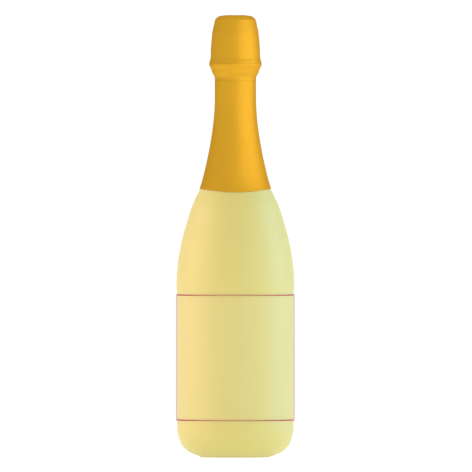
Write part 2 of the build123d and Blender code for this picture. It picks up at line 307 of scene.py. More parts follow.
def build_granule_group() -> bpy.types.NodeTree:
    """Build the group of pressed cork granules: a mask of tones, dark joints between them and a height.

    Returns:
        The group.
    """
    graph, given = new_group(Pattern.GRANULES, {"Scale": 600.0},
                             {"Tone": Kind.NUMBER, "Joint": Kind.NUMBER, "Height": Kind.NUMBER})
    place = graph.place()
    wobble = graph.noise(place, WOBBLE_SCALE, detail=2.0)["Color"]
    where = {"Vector": graph.mixed(WOBBLE, place, wobble, "ADD"), "Scale": given["Scale"]}
    cells = graph.node("ShaderNodeTexVoronoi", where)
    edges = graph.node("ShaderNodeTexVoronoi", where, feature="DISTANCE_TO_EDGE")
    tone = graph.node("ShaderNodeSeparateColor", {"Color": cells.outputs["Color"]})
    joint = graph.ranged(edges.outputs["Distance"], (0.0, JOINT_WIDTH), (1.0, 0.0))
    lift = graph.calculate("SUBTRACT", 1.0, joint, use_clamp=True)
    return graph.give({"Tone": tone.outputs["Red"], "Joint": joint, "Height": lift})


def build_lenticel_group() -> bpy.types.NodeTree:
    """Build the group of natural cork's growth lines and short dark pores.

    Returns:
        The group.
    """
    graph, given = new_group(Pattern.LENTICELS, {"Scale": 420.0}, {"Line": Kind.NUMBER, "Pore": Kind.NUMBER})
    flat = graph.node("ShaderNodeMapping", {"Vector": graph.place(), "Scale": LENTICEL_STRETCH})
    place, scale = flat.outputs["Vector"], given["Scale"]
    lines = graph.node("ShaderNodeTexWave",
                       {"Vector": place, "Scale": scale, "Distortion": 6.0, "Detail": 3.0})
    pores = graph.ranged(graph.noise(place, scale, detail=4.0)["Fac"], PORE_EDGE, (0.0, 1.0))
    return graph.give({"Line": lines.outputs["Fac"], "Pore": pores})


def build_mould_group() -> bpy.types.NodeTree:
    """Build the group of the marks of the bottle's mould: a seam up both sides and a knurled heel.

    Returns:
        The group.
    """
    graph, given = new_group(Pattern.MOULD,
                             {"Seam Width": SEAM_WIDTH, "Knurl Height": KNURL_HEIGHT, "Knurls": KNURLS},
                             {"Seam": Kind.NUMBER, "Knurl": Kind.NUMBER})
    axes = graph.node("ShaderNodeSeparateXYZ", {"Vector": graph.place()}).outputs
    aside = graph.calculate("ABSOLUTE", axes["Y"])
    seam = graph.ranged(aside, (0.0, given["Seam Width"]), (1.0, 0.0), "SMOOTHSTEP")
    low = graph.ranged(axes["Z"], (0.0, given["Knurl Height"]), (1.0, 0.0), "SMOOTHSTEP")
    turn = graph.calculate("ARCTAN2", axes["Y"], axes["X"])
    wave = graph.calculate("SINE", graph.calculate("MULTIPLY", turn, given["Knurls"]))
    return graph.give({"Seam": seam, "Knurl": graph.calculate("MULTIPLY", wave, low)})


GROUPS = {
    Pattern.MOULD: build_mould_group(),
    Pattern.DRIFT: build_drift_group(),
    Pattern.GRAIN: build_grain_group(),
    Pattern.GRANULES: build_granule_group(),
    Pattern.LENTICELS: build_lenticel_group(),
}
MADE: dict[str, bpy.types.Material] = {}


@dataclass(frozen=True)
class Finish:
    """A surface finish: the plain values of its shader and how its colour and relief vary."""

    name: str
    base: Colour
    roughness: float = 0.5
    metallic: float = 0.0
    drift: float = 0.05
    drift_scale: float = 40.0
    grain_scale: float = 900.0
    grain_stretch: float = 1.0
    grain_depth: float = 0.01 * MM
    roughness_swing: float = 0.06
    edge_tint: Colour = (1.0, 1.0, 1.0)

    def shader_inputs(self) -> dict[str, object]:
        """Plain values that a kind of finish adds on the shader's own sockets."""
        return {}

    def base_colour(self, graph: Graph) -> Socket | Colour:
        """Colour over the surface.

        Args:
            graph: the material's graph.

        Returns:
            A socket where the colour drifts, the plain colour where it doesn't.
        """
        if not self.drift:
            return self.base
        given = {"Colour": self.base, "Scale": self.drift_scale, "Amount": self.drift}
        return graph.pattern(Pattern.DRIFT, given)["Colour"]

    def grain(self, graph: Graph) -> Socket:
        """Socket with the height of the fine grain over the surface."""
        given = {"Scale": self.grain_scale, "Stretch": self.grain_stretch}
        return graph.pattern(Pattern.GRAIN, given)["Height"]

    def height(self, graph: Graph) -> Socket:
        """Socket with the relief over the surface."""
        return self.grain(graph)

    def finish_volume(self, graph: Graph, output: bpy.types.Node) -> None:
        """Give the inside of the piece its own shader; most finishes have none."""

    def material(self) -> bpy.types.Material:
        """Build the material.

        Returns:
            The material with this finish, made once for each name.
        """
        if self.name in MADE:
            return MADE[self.name]
        made = MADE[self.name] = bpy.data.materials.new(self.name)
        made.use_nodes = True
        made.node_tree.nodes.clear()
        graph = Graph(made.node_tree)
        output = graph.node("ShaderNodeOutputMaterial")
        shader = graph.node("ShaderNodeBsdfPrincipled", {
            "Base Color": self.base_colour(graph),
            "Roughness": self.roughness,
            "Metallic": self.metallic,
            "Specular Tint": self.edge_tint,
            **self.shader_inputs(),
        })
        if self.roughness_swing:
            low, high = self.roughness - self.roughness_swing, self.roughness + self.roughness_swing
            varied = graph.ranged(self.grain(graph), (0.0, 1.0), (low, high))
            graph.feed(shader.inputs["Roughness"], varied)
        if self.grain_depth:
            relief = graph.node("ShaderNodeBump",
                                {"Height": self.height(graph), "Distance": self.grain_depth})
            graph.feed(shader.inputs["Normal"], relief.outputs["Normal"])
        graph.feed(output.inputs["Surface"], shader.outputs["BSDF"])
        self.finish_volume(graph, output)
        return made


@dataclass(frozen=True)
class ClearFinish(Finish):
    """A finish that light goes through, with a colour that deepens with the length of its way."""

    ior: float = 1.5
    clear: float = 1.0
    absorbed: Colour = (1.0, 1.0, 1.0)
    density: float = 0.0

    def shader_inputs(self) -> dict[str, object]:
        """Transmission at the material's own bending of light."""
        return {"Transmission Weight": self.clear, "IOR": self.ior}

    def finish_volume(self, graph: Graph, output: bpy.types.Node) -> None:
        """Absorb light inside the piece, if it has a density.

        Args:
            graph: the material's graph.
            output: the material's output node.
        """
        if self.density:
            inside = graph.node("ShaderNodeVolumeAbsorption",
                                {"Color": self.absorbed, "Density": self.density})
            graph.feed(output.inputs["Volume"], inside.outputs["Volume"])


@dataclass(frozen=True)
class MouldedFinish(ClearFinish):
    """Glass with the marks of its mould, as multiples of the grain's depth."""

    seam: float = 40.0
    knurl: float = 80.0

    def height(self, graph: Graph) -> Socket:
        """The grain with the seam and the knurling on it.

        Args:
            graph: the material's graph.

        Returns:
            The socket with the height.
        """
        total = super().height(graph)
        marks = graph.pattern(Pattern.MOULD)
        for mark, depth in (("Seam", self.seam), ("Knurl", self.knurl)):
            total = graph.calculate("MULTIPLY_ADD", marks[mark], depth, total)
        return total


@dataclass(frozen=True)
class GlowingFinish(Finish):
    """A surface lit from below, as the top of a light table is."""

    glow: float = 0.5

    def shader_inputs(self) -> dict[str, object]:
        """Even white light."""
        return {"Emission Color": (1.0, 1.0, 1.0), "Emission Strength": self.glow}


@dataclass(frozen=True)
class FilmFinish(Finish):
    """A thin clear film, seen only by its gloss."""

    alpha: float = 0.1

    def shader_inputs(self) -> dict[str, object]:
        """Mostly see-through."""
        return {"Alpha": self.alpha}


@dataclass(frozen=True)
class GranuleFinish(Finish):
    """Agglomerated cork: pressed granules of several browns with darker joints."""

    dark: Colour = (0.2, 0.1, 0.05)
    granule_scale: float = 620.0
    tone_edges: Point = (0.05, 0.45)

    def granules(self, graph: Graph) -> bpy.types.NodeOutputs:
        """The granule pattern at this finish's scale."""
        return graph.pattern(Pattern.GRANULES, {"Scale": self.granule_scale})

    def base_colour(self, graph: Graph) -> Socket:
        """Granules from light to dark, with dark joints.

        Args:
            graph: the material's graph.

        Returns:
            The socket with the colour.
        """
        pattern = self.granules(graph)
        tones = graph.node("ShaderNodeValToRGB", {"Fac": pattern["Tone"]})
        for stop, tint, edge in zip(tones.color_ramp.elements, (self.dark, self.base), self.tone_edges):
            stop.color, stop.position = (*tint, 1.0), edge
        return graph.mixed(pattern["Joint"], tones.outputs["Color"], self.dark)

    def height(self, graph: Graph) -> Socket:
        """Granules stand a little proud of their joints."""
        return self.granules(graph)["Height"]


@dataclass(frozen=True)
class NaturalCorkFinish(Finish):
    """Natural cork: soft growth lines with short dark pores."""

    dark: Colour = (0.2, 0.1, 0.05)
    pore_scale: float = 420.0
    line_share: float = 0.25
    pore_share: float = 0.8

    def marks(self, graph: Graph) -> bpy.types.NodeOutputs:
        """The growth lines and pores at this finish's scale."""
        return graph.pattern(Pattern.LENTICELS, {"Scale": self.pore_scale})

    def base_colour(self, graph: Graph) -> Socket:
        """Drifting cork with darker lines and pores.

        Args:
            graph: the material's graph.

        Returns:
            The socket with the colour.
        """
        marks, shade = self.marks(graph), super().base_colour(graph)
        for mark, share in (("Line", self.line_share), ("Pore", self.pore_share)):
            shade = graph.mixed(graph.calculate("MULTIPLY", marks[mark], share), shade, self.dark)
        return shade

    def height(self, graph: Graph) -> Socket:
        """Pores lie below the surface."""
        return graph.calculate("SUBTRACT", self.grain(graph), self.marks(graph)["Pore"])


GLASS = MouldedFinish("satin_glass", (0.65, 0.581, 0.163), roughness=0.45, roughness_swing=0.02, drift=0.01,
                      grain_scale=1500.0, grain_depth=0.002 * MM, ior=1.5, clear=0.3)
WINE = ClearFinish("straw_wine", (1.0, 1.0, 1.0), roughness=0.0, roughness_swing=0.0, drift=0.0,
                   grain_depth=0.0, ior=1.34, absorbed=(0.741, 0.662, 0.018), density=22.0)
FOIL = Finish("gold_foil", (0.577, 0.308, 0.019), roughness=0.5, metallic=0.82, drift=0.05, drift_scale=60.0,
              grain_scale=420.0, grain_stretch=1.6, grain_depth=0.01 * MM, roughness_swing=0.04,
              edge_tint=(0.55, 0.45, 0.25))
FILM = FilmFinish("clear_film", (0.8, 0.75, 0.5), roughness=0.4, roughness_swing=0.0, drift=0.0,
                  grain_depth=0.0, alpha=0.03)
INK = Finish("border_ink", colour(180, 46, 96), roughness=0.6, drift=0.08, drift_scale=900.0)
WIRE = Finish("bright_wire", (0.4, 0.395, 0.385), roughness=0.3, metallic=1.0, drift=0.1, drift_scale=300.0,
              grain_scale=2600.0, grain_stretch=9.0, grain_depth=0.01 * MM)
CAP = Finish("lacquered_cap", colour(224, 176, 74), roughness=0.24, metallic=0.9, drift=0.06,
             drift_scale=120.0, grain_scale=1500.0, grain_depth=0.006 * MM)
AGGLOMERATE = GranuleFinish("pressed_granules", colour(203, 160, 112), roughness=0.72, roughness_swing=0.1,
                            grain_depth=0.06 * MM, dark=colour(112, 72, 44))
CORK = NaturalCorkFinish("punched_cork", colour(176, 126, 82), roughness=0.75, drift=0.5, drift_scale=260.0,
                         grain_scale=900.0, grain_stretch=3.0, grain_depth=0.08 * MM, roughness_swing=0.1,
                         dark=colour(104, 64, 38))
FLOOR = GlowingFinish("pale_floor", (0.6, 0.6, 0.6), roughness=0.8, roughness_swing=0.0, drift=0.0,
                      grain_depth=0.0, glow=0.85)


def smooth_line(points: list[Point], start: Point, end: Point, spacing: float) -> list[Point]:
    """Draw a smooth line through points, bending as evenly as it can.

    Args:
        points: radius and height of each point, in metres.
        start: direction in which the line leaves the first point.
        end: direction in which it arrives at the last point.
        spacing: distance between the line's own points.

    Returns:
        Points along the line, both ends included.
    """
    given = np.array(points)
    chords = np.linalg.norm(np.diff(given, axis=0), axis=1)
    count = len(given)
    system, right = np.zeros((count, count)), np.zeros((count, 2))
    system[0, 0] = system[-1, -1] = 1.0
    right[0], right[-1] = np.array(start) / math.hypot(*start), np.array(end) / math.hypot(*end)
    for i in range(1, count - 1):
        before, after = chords[i - 1], chords[i]
        system[i, i - 1:i + 2] = after, 2 * (before + after), before
        right[i] = 3 * (after / before * (given[i] - given[i - 1])
                        + before / after * (given[i + 1] - given[i]))
    slopes = np.linalg.solve(system, right)
    line = []
    for i, chord in enumerate(chords):
        steps = max(2, round(chord / spacing))
        for t in np.arange(steps) / steps:
            line.append((2 * t**3 - 3 * t**2 + 1) * given[i] + (t**3 - 2 * t**2 + t) * chord * slopes[i]
                        + (3 * t**2 - 2 * t**3) * given[i + 1] + (t**3 - t**2) * chord * slopes[i + 1])
    line.append(given[-1])
    return [(max(0.0, float(x)), float(y)) for x, y in line]


def straight_line(start: Point, end: Point, spacing: float) -> list[Point]:
    """Draw a straight line through points that lie about evenly, both ends included.

    Args:
        start: the first point.
        end: the last point.
        spacing: about how far apart the points lie.

    Returns:
        The points in their order.
    """
    steps = max(1, round(math.dist(start, end) / spacing))
    return [(start[0] + (end[0] - start[0]) * i / steps, start[1] + (end[1] - start[1]) * i / steps)
            for i in range(steps + 1)]


def arc_line(centre: Point, radius: float, first: float, last: float, steps: int) -> list[Point]:
    """Draw an arc between two angles in degrees.

    Args:
        centre: centre of the arc.
        radius: radius of the arc.
        first: angle at which it starts.
        last: angle at which it ends.
        steps: how many runs it has.

    Returns:
        The points in their order, both ends included.
    """
    return [(centre[0] + radius * math.cos(math.radians(first + (last - first) * i / steps)),
             centre[1] + radius * math.sin(math.radians(first + (last - first) * i / steps)))
            for i in range(steps + 1)]


def on_circle(radius: float, height: float, azimuth: float) -> Vector:
    """Point at an azimuth in degrees about the bottle's axis."""
    angle = math.radians(azimuth)
    return Vector((radius * math.cos(angle), radius * math.sin(angle), height))


def azimuth_of(x: float, y: float) -> float:
    """Azimuth of a place, in degrees from 0 to 360."""
    return math.degrees(math.atan2(y, x)) % 360


def joined(*lines: list[Point]) -> list[Point]:
    """Join lines into one, without points that lie on the one before.

    Args:
        *lines: the lines, in their order.

    Returns:
        The whole line.
    """
    whole: list[Point] = []
    for point in (point for line in lines for point in line):
        if not whole or math.dist(point, whole[-1]) > WELD:
            whole.append(point)
    return whole


class Modeller:
    """Builds meshes with Blender's own operators, each piece at its place in the part's frame."""

    @staticmethod
    def clear_selection() -> None:
        """Leave edit mode and select nothing."""
        if bpy.context.object and bpy.context.object.mode != "OBJECT":
            bpy.ops.object.mode_set(mode="OBJECT")
        bpy.ops.object.select_all(action="DESELECT")

    @staticmethod
    def pick(piece: Piece) -> None:
        """Select one piece alone and make it the active one.

        Args:
            piece: the piece.
        """
        Modeller.clear_selection()
        piece.select_set(True)
        bpy.context.view_layer.objects.active = piece

    @staticmethod
    def weld(threshold: float) -> None:
        """Join the active piece's points that lie together and turn its faces outwards.

        Args:
            threshold: the distance up to which points join.
        """
        bpy.ops.object.mode_set(mode="EDIT")
        bpy.ops.mesh.select_all(action="SELECT")
        bpy.ops.mesh.remove_doubles(threshold=threshold)
        bpy.ops.mesh.normals_make_consistent(inside=False)
        bpy.ops.object.mode_set(mode="OBJECT")

    @staticmethod
    def settle(piece: Piece, name: str, finish: Finish) -> Piece:
        """Apply a piece's place to its mesh, name it and give it its finish.

        Args:
            piece: the object that was modelled.
            name: the name it gets.
            finish: the finish of its whole surface.

        Returns:
            The same object, at the origin.
        """
        Modeller.pick(piece)
        bpy.ops.object.transform_apply(location=True, rotation=True, scale=True)
        piece.name = piece.data.name = name
        piece.data.materials.clear()
        piece.data.materials.append(finish.material())
        bpy.ops.object.shade_smooth_by_angle(angle=SMOOTH_ANGLE)
        return piece

    @staticmethod
    def drawn(points: list[Vector], ring: bool = False) -> Piece:
        """Draw a line through points as a curve of straight runs.

        Args:
            points: the points that the line joins.
            ring: whether the last point joins the first.

        Returns:
            The curve.
        """
        Modeller.clear_selection()
        bpy.ops.curve.primitive_nurbs_path_add(location=(0, 0, 0))
        curve = bpy.context.object
        curve.data.splines.clear()
        line = curve.data.splines.new("POLY")
        line.points.add(len(points) - 1)
        for point, place in zip(line.points, points):
            point.co = (*place, 1.0)
        line.use_cyclic_u = ring
        return curve

    @staticmethod
    def lathe(name: str, outline: list[Point], finish: Finish, closed: bool = True,
              steps: int = AROUND) -> Piece:
        """Turn an outline about the bottle's axis.

        Args:
            name: name of the piece.
            outline: radius and height of each point of the outline.
            finish: finish of the piece.
            closed: whether the last point joins the first.
            steps: how many faces go round.

        Returns:
            The turned piece, with its faces outwards.
        """
        Modeller.drawn([Vector((radius, 0, height)) for radius, height in outline], ring=closed)
        bpy.ops.object.convert(target="MESH")
        piece = bpy.context.object
        bpy.ops.object.mode_set(mode="EDIT")
        bpy.ops.mesh.select_all(action="SELECT")
        bpy.ops.mesh.spin(steps=steps, angle=TURN, center=(0, 0, 0), axis=(0, 0, 1))
        bpy.ops.object.mode_set(mode="OBJECT")
        Modeller.weld(WELD)
        return Modeller.settle(piece, name, finish)

    @staticmethod
    def wire(name: str, route: list[Vector], diameter: float, finish: Finish, ring: bool = False) -> Piece:
        """Lay a round wire along a route.

        Args:
            name: name of the piece.
            route: points that the wire follows.
            diameter: thickness of the wire.
            finish: finish of the wire.
            ring: whether the last point joins the first.

        Returns:
            The wire as a mesh with closed ends.
        """
        curve = Modeller.drawn(route, ring)
        curve.data.bevel_depth = diameter / 2
        curve.data.bevel_resolution = WIRE_ROUNDNESS
        curve.data.use_fill_caps = not ring
        bpy.ops.object.convert(target="MESH")
        return Modeller.settle(bpy.context.object, name, finish)

    @staticmethod
    def merge(name: str, pieces: list[Piece], finish: Finish) -> Piece:
        """Join pieces of one finish into one object.

        Args:
            name: name of the whole.
            pieces: the pieces.
            finish: finish of the whole.

        Returns:
            The whole.
        """
        Modeller.clear_selection()
        for piece in pieces:
            piece.select_set(True)
        bpy.context.view_layer.objects.active = pieces[0]
        bpy.ops.object.join()
        return Modeller.settle(bpy.context.object, name, finish)

    @staticmethod
    def press(piece: Piece, rule: Rule) -> Piece:
        """Press a turned piece into shape.

        Args:
            piece: the piece to press.
            rule: gives a point's new radius and height from its azimuth in degrees, radius and height.

        Returns:
            The same piece.
        """
        for vertex in piece.data.vertices:
            x, y, z = vertex.co
            angle = math.atan2(y, x)
            radius, height = rule(azimuth_of(x, y), math.hypot(x, y), z)
            vertex.co = (radius * math.cos(angle), radius * math.sin(angle), height)
        piece.data.update()
        return piece

    @staticmethod
    def copied(piece: Piece, name: str) -> Piece:
        """Copy a piece with a mesh of its own.

        Args:
            piece: the piece.
            name: name of the copy.

        Returns:
            The copy.
        """
        Modeller.pick(piece)
        bpy.ops.object.duplicate(linked=False)
        copy = bpy.context.object
        copy.name = copy.data.name = name
        return copy

    @staticmethod
    def trimmed(piece: Piece, wanted: Callable[[float, float], bool]) -> Piece:
        """Cut a sheet of two skins down to a region and close its cut edge.

        Args:
            piece: the sheet.
            wanted: whether the sheet stays at an azimuth in degrees and a height.

        Returns:
            The same piece.
        """
        Modeller.pick(piece)
        bpy.ops.object.mode_set(mode="EDIT")
        bpy.ops.mesh.select_mode(type="FACE")
        bpy.ops.mesh.select_all(action="DESELECT")
        bpy.ops.object.mode_set(mode="OBJECT")
        for face in piece.data.polygons:
            x, y, z = face.center
            face.select = not wanted(azimuth_of(x, y), z)
        bpy.ops.object.mode_set(mode="EDIT")
        bpy.ops.mesh.delete(type="FACE")
        bpy.ops.mesh.select_mode(type="EDGE")
        bpy.ops.mesh.select_non_manifold(extend=False, use_wire=False, use_boundary=True,
                                         use_multi_face=False, use_non_contiguous=False, use_verts=False)
        bpy.ops.mesh.bridge_edge_loops()
        bpy.ops.mesh.select_all(action="SELECT")
        bpy.ops.mesh.normals_make_consistent(inside=False)
        bpy.ops.object.mode_set(mode="OBJECT")
        return piece


def attach(piece: Piece, body: Body, slot: Slot, *nodes: str) -> Piece:
    """Let a piece move with its body and stand for the part's own nodes.

    Args:
        piece: the finished piece.
        body: body that carries it.
        slot: material slot meant for the piece; not used.
        *nodes: nodes that it stands for.

    Returns:
        The same piece.
    """
    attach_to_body(piece, body.value)
    if nodes:
        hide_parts(*nodes)
    log.info("%s: %d faces on %s", piece.name, len(piece.data.polygons), body.value)
    return piece


def step_up(value: float, low: float, high: float) -> float:
    """Rise smoothly from 0 at low to 1 at high."""
    share = min(1.0, max(0.0, (value - low) / (high - low)))
    return share * share * (3 - 2 * share)


def window(value: float, low: float, high: float, soft: float) -> float:
    """Be 1 from low to high, with soft ends that reach outwards."""
    return step_up(value, low - soft, low) * (1 - step_up(value, high, high + soft))


def bump(value: float, middle: float, width: float) -> float:
    """Height of a round bump at a value, as a share of its crest."""
    return math.exp(-((value - middle) / width) ** 2)


def rib(azimuth: float, middle: float, width: float) -> float:
    """Height of a round rib at an azimuth, as a share of its crest; angles in degrees."""
    return bump((azimuth - middle + 180) % 360 - 180, 0.0, width)


def ripple(azimuth: float, height: float, waves: float, upright: float, seed: float) -> float:
    """Uneven wave round the bottle, from -1 to 1.

    Args:
        azimuth: where on the circle, in degrees.
        height: how high.
        waves: about how many waves go round.
        upright: length of a wave along the bottle.
        seed: picks one of many such waves.

    Returns:
        The height of the wave there.
    """
    place = on_circle(waves / math.pi, height / upright, azimuth)
    return noise.noise(place + Vector((seed, 0, 0)))


def rounded_route(points: list[Vector], spacing: float) -> list[Vector]:
    """Route of a wire along straight runs with a bend at each corner.

    Args:
        points: the corners of the route, both ends included.
        spacing: distance between the points of the result.

    Returns:
        Evenly spaced points along the route.
    """
    bent = [points[0]]
    for before, here, after in zip(points, points[1:], points[2:]):
        reach = BEND_SHARE * min((here - before).length, (after - here).length)
        entry = here + reach * (before - here).normalized()
        leave = here + reach * (after - here).normalized()
        bent += [(1 - t) ** 2 * entry + 2 * t * (1 - t) * here + t**2 * leave for t in BEND_STEPS]
    bent.append(points[-1])
    lengths = np.concatenate([[0.0], np.cumsum([(b - a).length for a, b in zip(bent, bent[1:])])])
    places = np.linspace(0, lengths[-1], max(2, round(lengths[-1] / spacing)) + 1)
    columns = [np.interp(places, lengths, column) for column in np.array(bent).T]
    return [Vector(row) for row in np.stack(columns, axis=1)]


def twisted_pair(route: list[Vector], strand: float, turns: float, across: Vector,
                 plain: Point = (0.0, 0.0)) -> list[list[Vector]]:
    """Routes of two strands that lie side by side and wind round each other.

    Args:
        route: evenly spaced points of the middle line.
        strand: diameter of each strand.
        turns: how often the strands wind round each other.
        across: direction in which the strands lie side by side at the start.
        plain: lengths at the start and at the end where they don't wind.

    Returns:
        The points of each strand.
    """
    tangents = [(after - before).normalized()
                for before, after in zip([route[0], *route], [*route[1:], route[-1]])]
    length = sum((after - before).length for before, after in zip(route, route[1:]))
    strands: list[list[Vector]] = [[], []]
    side, run = across.normalized(), 0.0
    for i, (place, tangent) in enumerate(zip(route, tangents)):
        run += (place - route[i - 1]).length if i else 0.0
        side = (side - side.dot(tangent) * tangent).normalized()
        share = min(1.0, max(0.0, (run - plain[0]) / (length - plain[0] - plain[1])))
        out = Matrix.Rotation(TURN * turns * share, 3, tangent) @ side * strand / 2
        strands[0].append(place + out)
        strands[1].append(place - out)
    return strands


@dataclass(frozen=True)
class Die:
    """Ornament pressed into a piece about the bottle's axis: a ring with rays inside it."""

    radius: float
    rise: float
    # Radius of the ring, then of the start and end of the rays, as shares of the ornament's radius.
    ring: float
    reach: Point
    ring_width: float
    ray_edge: float
    rays: int
    # Middle and swing of the rays' height, as shares of the rise.
    wave: Point

    def pressed(self, azimuth: float, radius: float, height: float) -> Point:
        """Raise the ring and the rays.

        Args:
            azimuth: where the point is, in degrees.
            radius: its radius.
            height: its height.

        Returns:
            The point's new radius and height.
        """
        ring = bump(radius, self.ring * self.radius, self.ring_width)
        start, end = self.reach
        rays = window(radius, start * self.radius, end * self.radius, self.ray_edge)
        middle, swing = self.wave
        wave = middle + swing * math.cos(self.rays * math.radians(azimuth))
        return radius, height + self.rise * (ring + rays * wave)


@dataclass
class Bottle:
    """The glass bottle and the wine in it."""

    height: float = 300.5 * MM
    body_radius: float = 43.0 * MM
    panel_recess: float = 0.5 * MM
    panel_bottom: float = 22.0 * MM
    panel_top: float = 120.0 * MM
    panel_step: float = 1.5 * MM
    band: float = 1.8 * MM
    neck_length: float = 37.2 * MM
    neck_radius: float = 14.6 * MM
    ring_radius: float = 27.0 * MM
    ring_width: float = 3.0 * MM
    ring_lift: float = 0.9 * MM
    # Share of the standing ring that is rounded off, and how steeply the heel starts from it.
    ring_share: float = 0.8
    ring_slope: float = 0.25
    punt_depth: float = 27.0 * MM
    punt_end: Point = (0.35, -1.0)
    body_wall: float = 5.1 * MM
    neck_wall: float = 4.4 * MM
    floor_thickness: float = 6.5 * MM
    # Height at which the floor meets the wall, as a share of its peak.
    floor_edge: float = 0.65
    bore_radius: float = 8.95 * MM
    bore_length: float = 29.0 * MM
    bore_flare: float = 9.0 * MM
    mouth_edge: float = 0.8 * MM
    lip_inset: float = 0.4 * MM
    lip_height: float = 7.3 * MM
    lip_edge: float = 1.4 * MM
    lip_recess: float = 0.5 * MM
    bead_rise: float = 2.7 * MM
    bead_height: float = 8.0 * MM
    bead_drop: float = 13.3 * MM
    fill_drop: float = 80.0 * MM
    wetting: float = 0.12 * MM
    meniscus: float = 1.3 * MM
    # The higher, the closer to the glass the wine rises.
    meniscus_bend: int = 6
    fine: float = 1.6 * MM
    coarse: float = 9.6 * MM
    bead_steps: int = 16
    lip_steps: int = 6
    # Shapes of the lines, as shares of their width and height.
    surface_shares: tuple[float, ...] = (0.97, 0.9, 0.8, 0.6, 0.3, 0.0)
    shoulder_shares: tuple[Point, ...] = (
        (0.046, 0.146), (0.141, 0.251), (0.285, 0.356), (0.468, 0.461), (0.592, 0.512),
        (0.688, 0.571), (0.835, 0.701), (0.926, 0.806), (0.984, 0.911))
    heel_shares: tuple[Point, ...] = ((0.387, 0.150), (0.665, 0.295), (0.826, 0.440), (0.935, 0.640))
    punt_shares: tuple[Point, ...] = ((0.86, 0.26), (0.66, 0.63), (0.38, 0.91))
    floor_shares: tuple[Point, ...] = (
        (0.945, 0.354), (0.800, 0.185), (0.685, 0.246), (0.570, 0.492), (0.406, 0.800), (0.216, 0.969))

    @property
    def shoulder_start(self) -> float:
        """Height at which the body starts to draw in."""
        return self.panel_top + self.panel_step + self.band

    @property
    def neck_start(self) -> float:
        """Height at which the neck becomes upright."""
        return self.height - self.neck_length

    @property
    def bead_height_centre(self) -> float:
        """Height of the middle of the bead."""
        return self.height - self.bead_drop

    @property
    def bead_radius(self) -> float:
        """Radius of the bead."""
        return self.neck_radius + self.bead_rise

    @property
    def bead_arc(self) -> tuple[float, float]:
        """Radius of the bead's round and the radius at which its centre lies."""
        arc = ((self.bead_height / 2) ** 2 + self.bead_rise**2) / (2 * self.bead_rise)
        return arc, self.bead_radius - arc

    @property
    def panel_radius(self) -> float:
        """Radius of the panel that the label lies on."""
        return self.body_radius - self.panel_recess

    @property
    def cavity_radius(self) -> float:
        """Inner radius of the body."""
        return self.body_radius - self.body_wall

    @property
    def neck_bore(self) -> float:
        """Inner radius of the neck."""
        return self.neck_radius - self.neck_wall

    def shoulder(self, foot: float, top: float) -> list[Point]:
        """Line from the body up to the neck, for any pair of radii.

        Args:
            foot: radius at the body.
            top: radius at the neck.

        Returns:
            Radius and height of each point.
        """
        span = self.neck_start - self.shoulder_start
        points = [(foot, self.shoulder_start)]
        points += [(foot - inward * (foot - top), self.shoulder_start + up * span)
                   for inward, up in self.shoulder_shares]
        return smooth_line([*points, (top, self.neck_start)], UP, UP, self.fine)

    def punt(self) -> list[Point]:
        """Line of the hollow under the base, from the axis to the standing ring.

        Returns:
            Radius and height of each point.
        """
        radius = self.ring_radius - self.ring_width
        points = [(out * radius, up * self.punt_depth) for out, up in reversed(self.punt_shares)]
        return smooth_line([(0, self.punt_depth), *points, (radius, 0)], OUT, self.punt_end, self.fine)

    def heel(self) -> list[Point]:
        """Line from the standing ring, rounded at its outer edge, up to the panel.

        Returns:
            Radius and height of each point.
        """
        reach = self.panel_radius - self.ring_radius
        points = [(self.ring_radius + out * reach, up * self.panel_bottom) for out, up in self.heel_shares]
        foot = (self.ring_radius - self.ring_share * self.ring_width, 0)
        top = (self.panel_radius, self.panel_bottom)
        return smooth_line([foot, (self.ring_radius, self.ring_lift), *points, top],
                           (1, self.ring_slope), UP, self.fine)

    def floor(self, growth: float) -> list[Point]:
        """Line of the cavity's floor from the axis to the wall.

        Args:
            growth: how far the line moves into the glass.

        Returns:
            Radius and height of each point.
        """
        peak = self.punt_depth + self.floor_thickness
        points = [(out * self.cavity_radius, up * peak - growth) for out, up in reversed(self.floor_shares)]
        wall = (self.cavity_radius + growth, self.floor_edge * peak)
        return smooth_line([(0, peak - growth), *points, wall], OUT, UP, self.fine)

    def mouth(self) -> list[Point]:
        """Line up over the bead and the lip to the edge of the bore.

        Returns:
            Radius and height of each point.
        """
        arc, centre = self.bead_arc
        half = math.degrees(math.asin(self.bead_height / 2 / arc))
        lip = self.neck_radius - self.lip_inset
        narrow = lip - self.lip_recess
        lip_bottom = self.height - self.lip_height
        bead = arc_line((centre, self.bead_height_centre), arc, -half, half, self.bead_steps)
        edge = arc_line((lip - self.lip_edge, self.height - self.lip_edge), self.lip_edge, 0, 90,
                        self.lip_steps)
        recess = [(narrow, bead[-1][1]), (narrow, lip_bottom), (lip, lip_bottom + self.lip_recess)]
        return joined(bead, recess, edge, [(self.bore_radius + self.mouth_edge, self.height)])

    def bore(self) -> list[Point]:
        """Line down the inside of the mouth to the neck.

        Returns:
            Radius and height of each point.
        """
        bottom = self.height - self.bore_length
        return [(self.bore_radius, self.height - self.mouth_edge), (self.bore_radius, bottom),
                (self.neck_bore, bottom - self.bore_flare), (self.neck_bore, self.neck_start)]

    def build_glass(self) -> Piece:
        """Model the bottle as one hollow turned shell.

        Returns:
            The glass.
        """
        outline = joined(
            self.punt(),
            self.heel(),
            straight_line((self.panel_radius, self.panel_bottom), (self.panel_radius, self.panel_top),
                          self.coarse),
            self.shoulder(self.body_radius, self.neck_radius),
            self.mouth(),
            self.bore(),
            list(reversed(self.shoulder(self.cavity_radius, self.neck_bore))),
            list(reversed(self.floor(0))),
        )
        return Modeller.lathe("bottle_glass", outline, GLASS, closed=False)

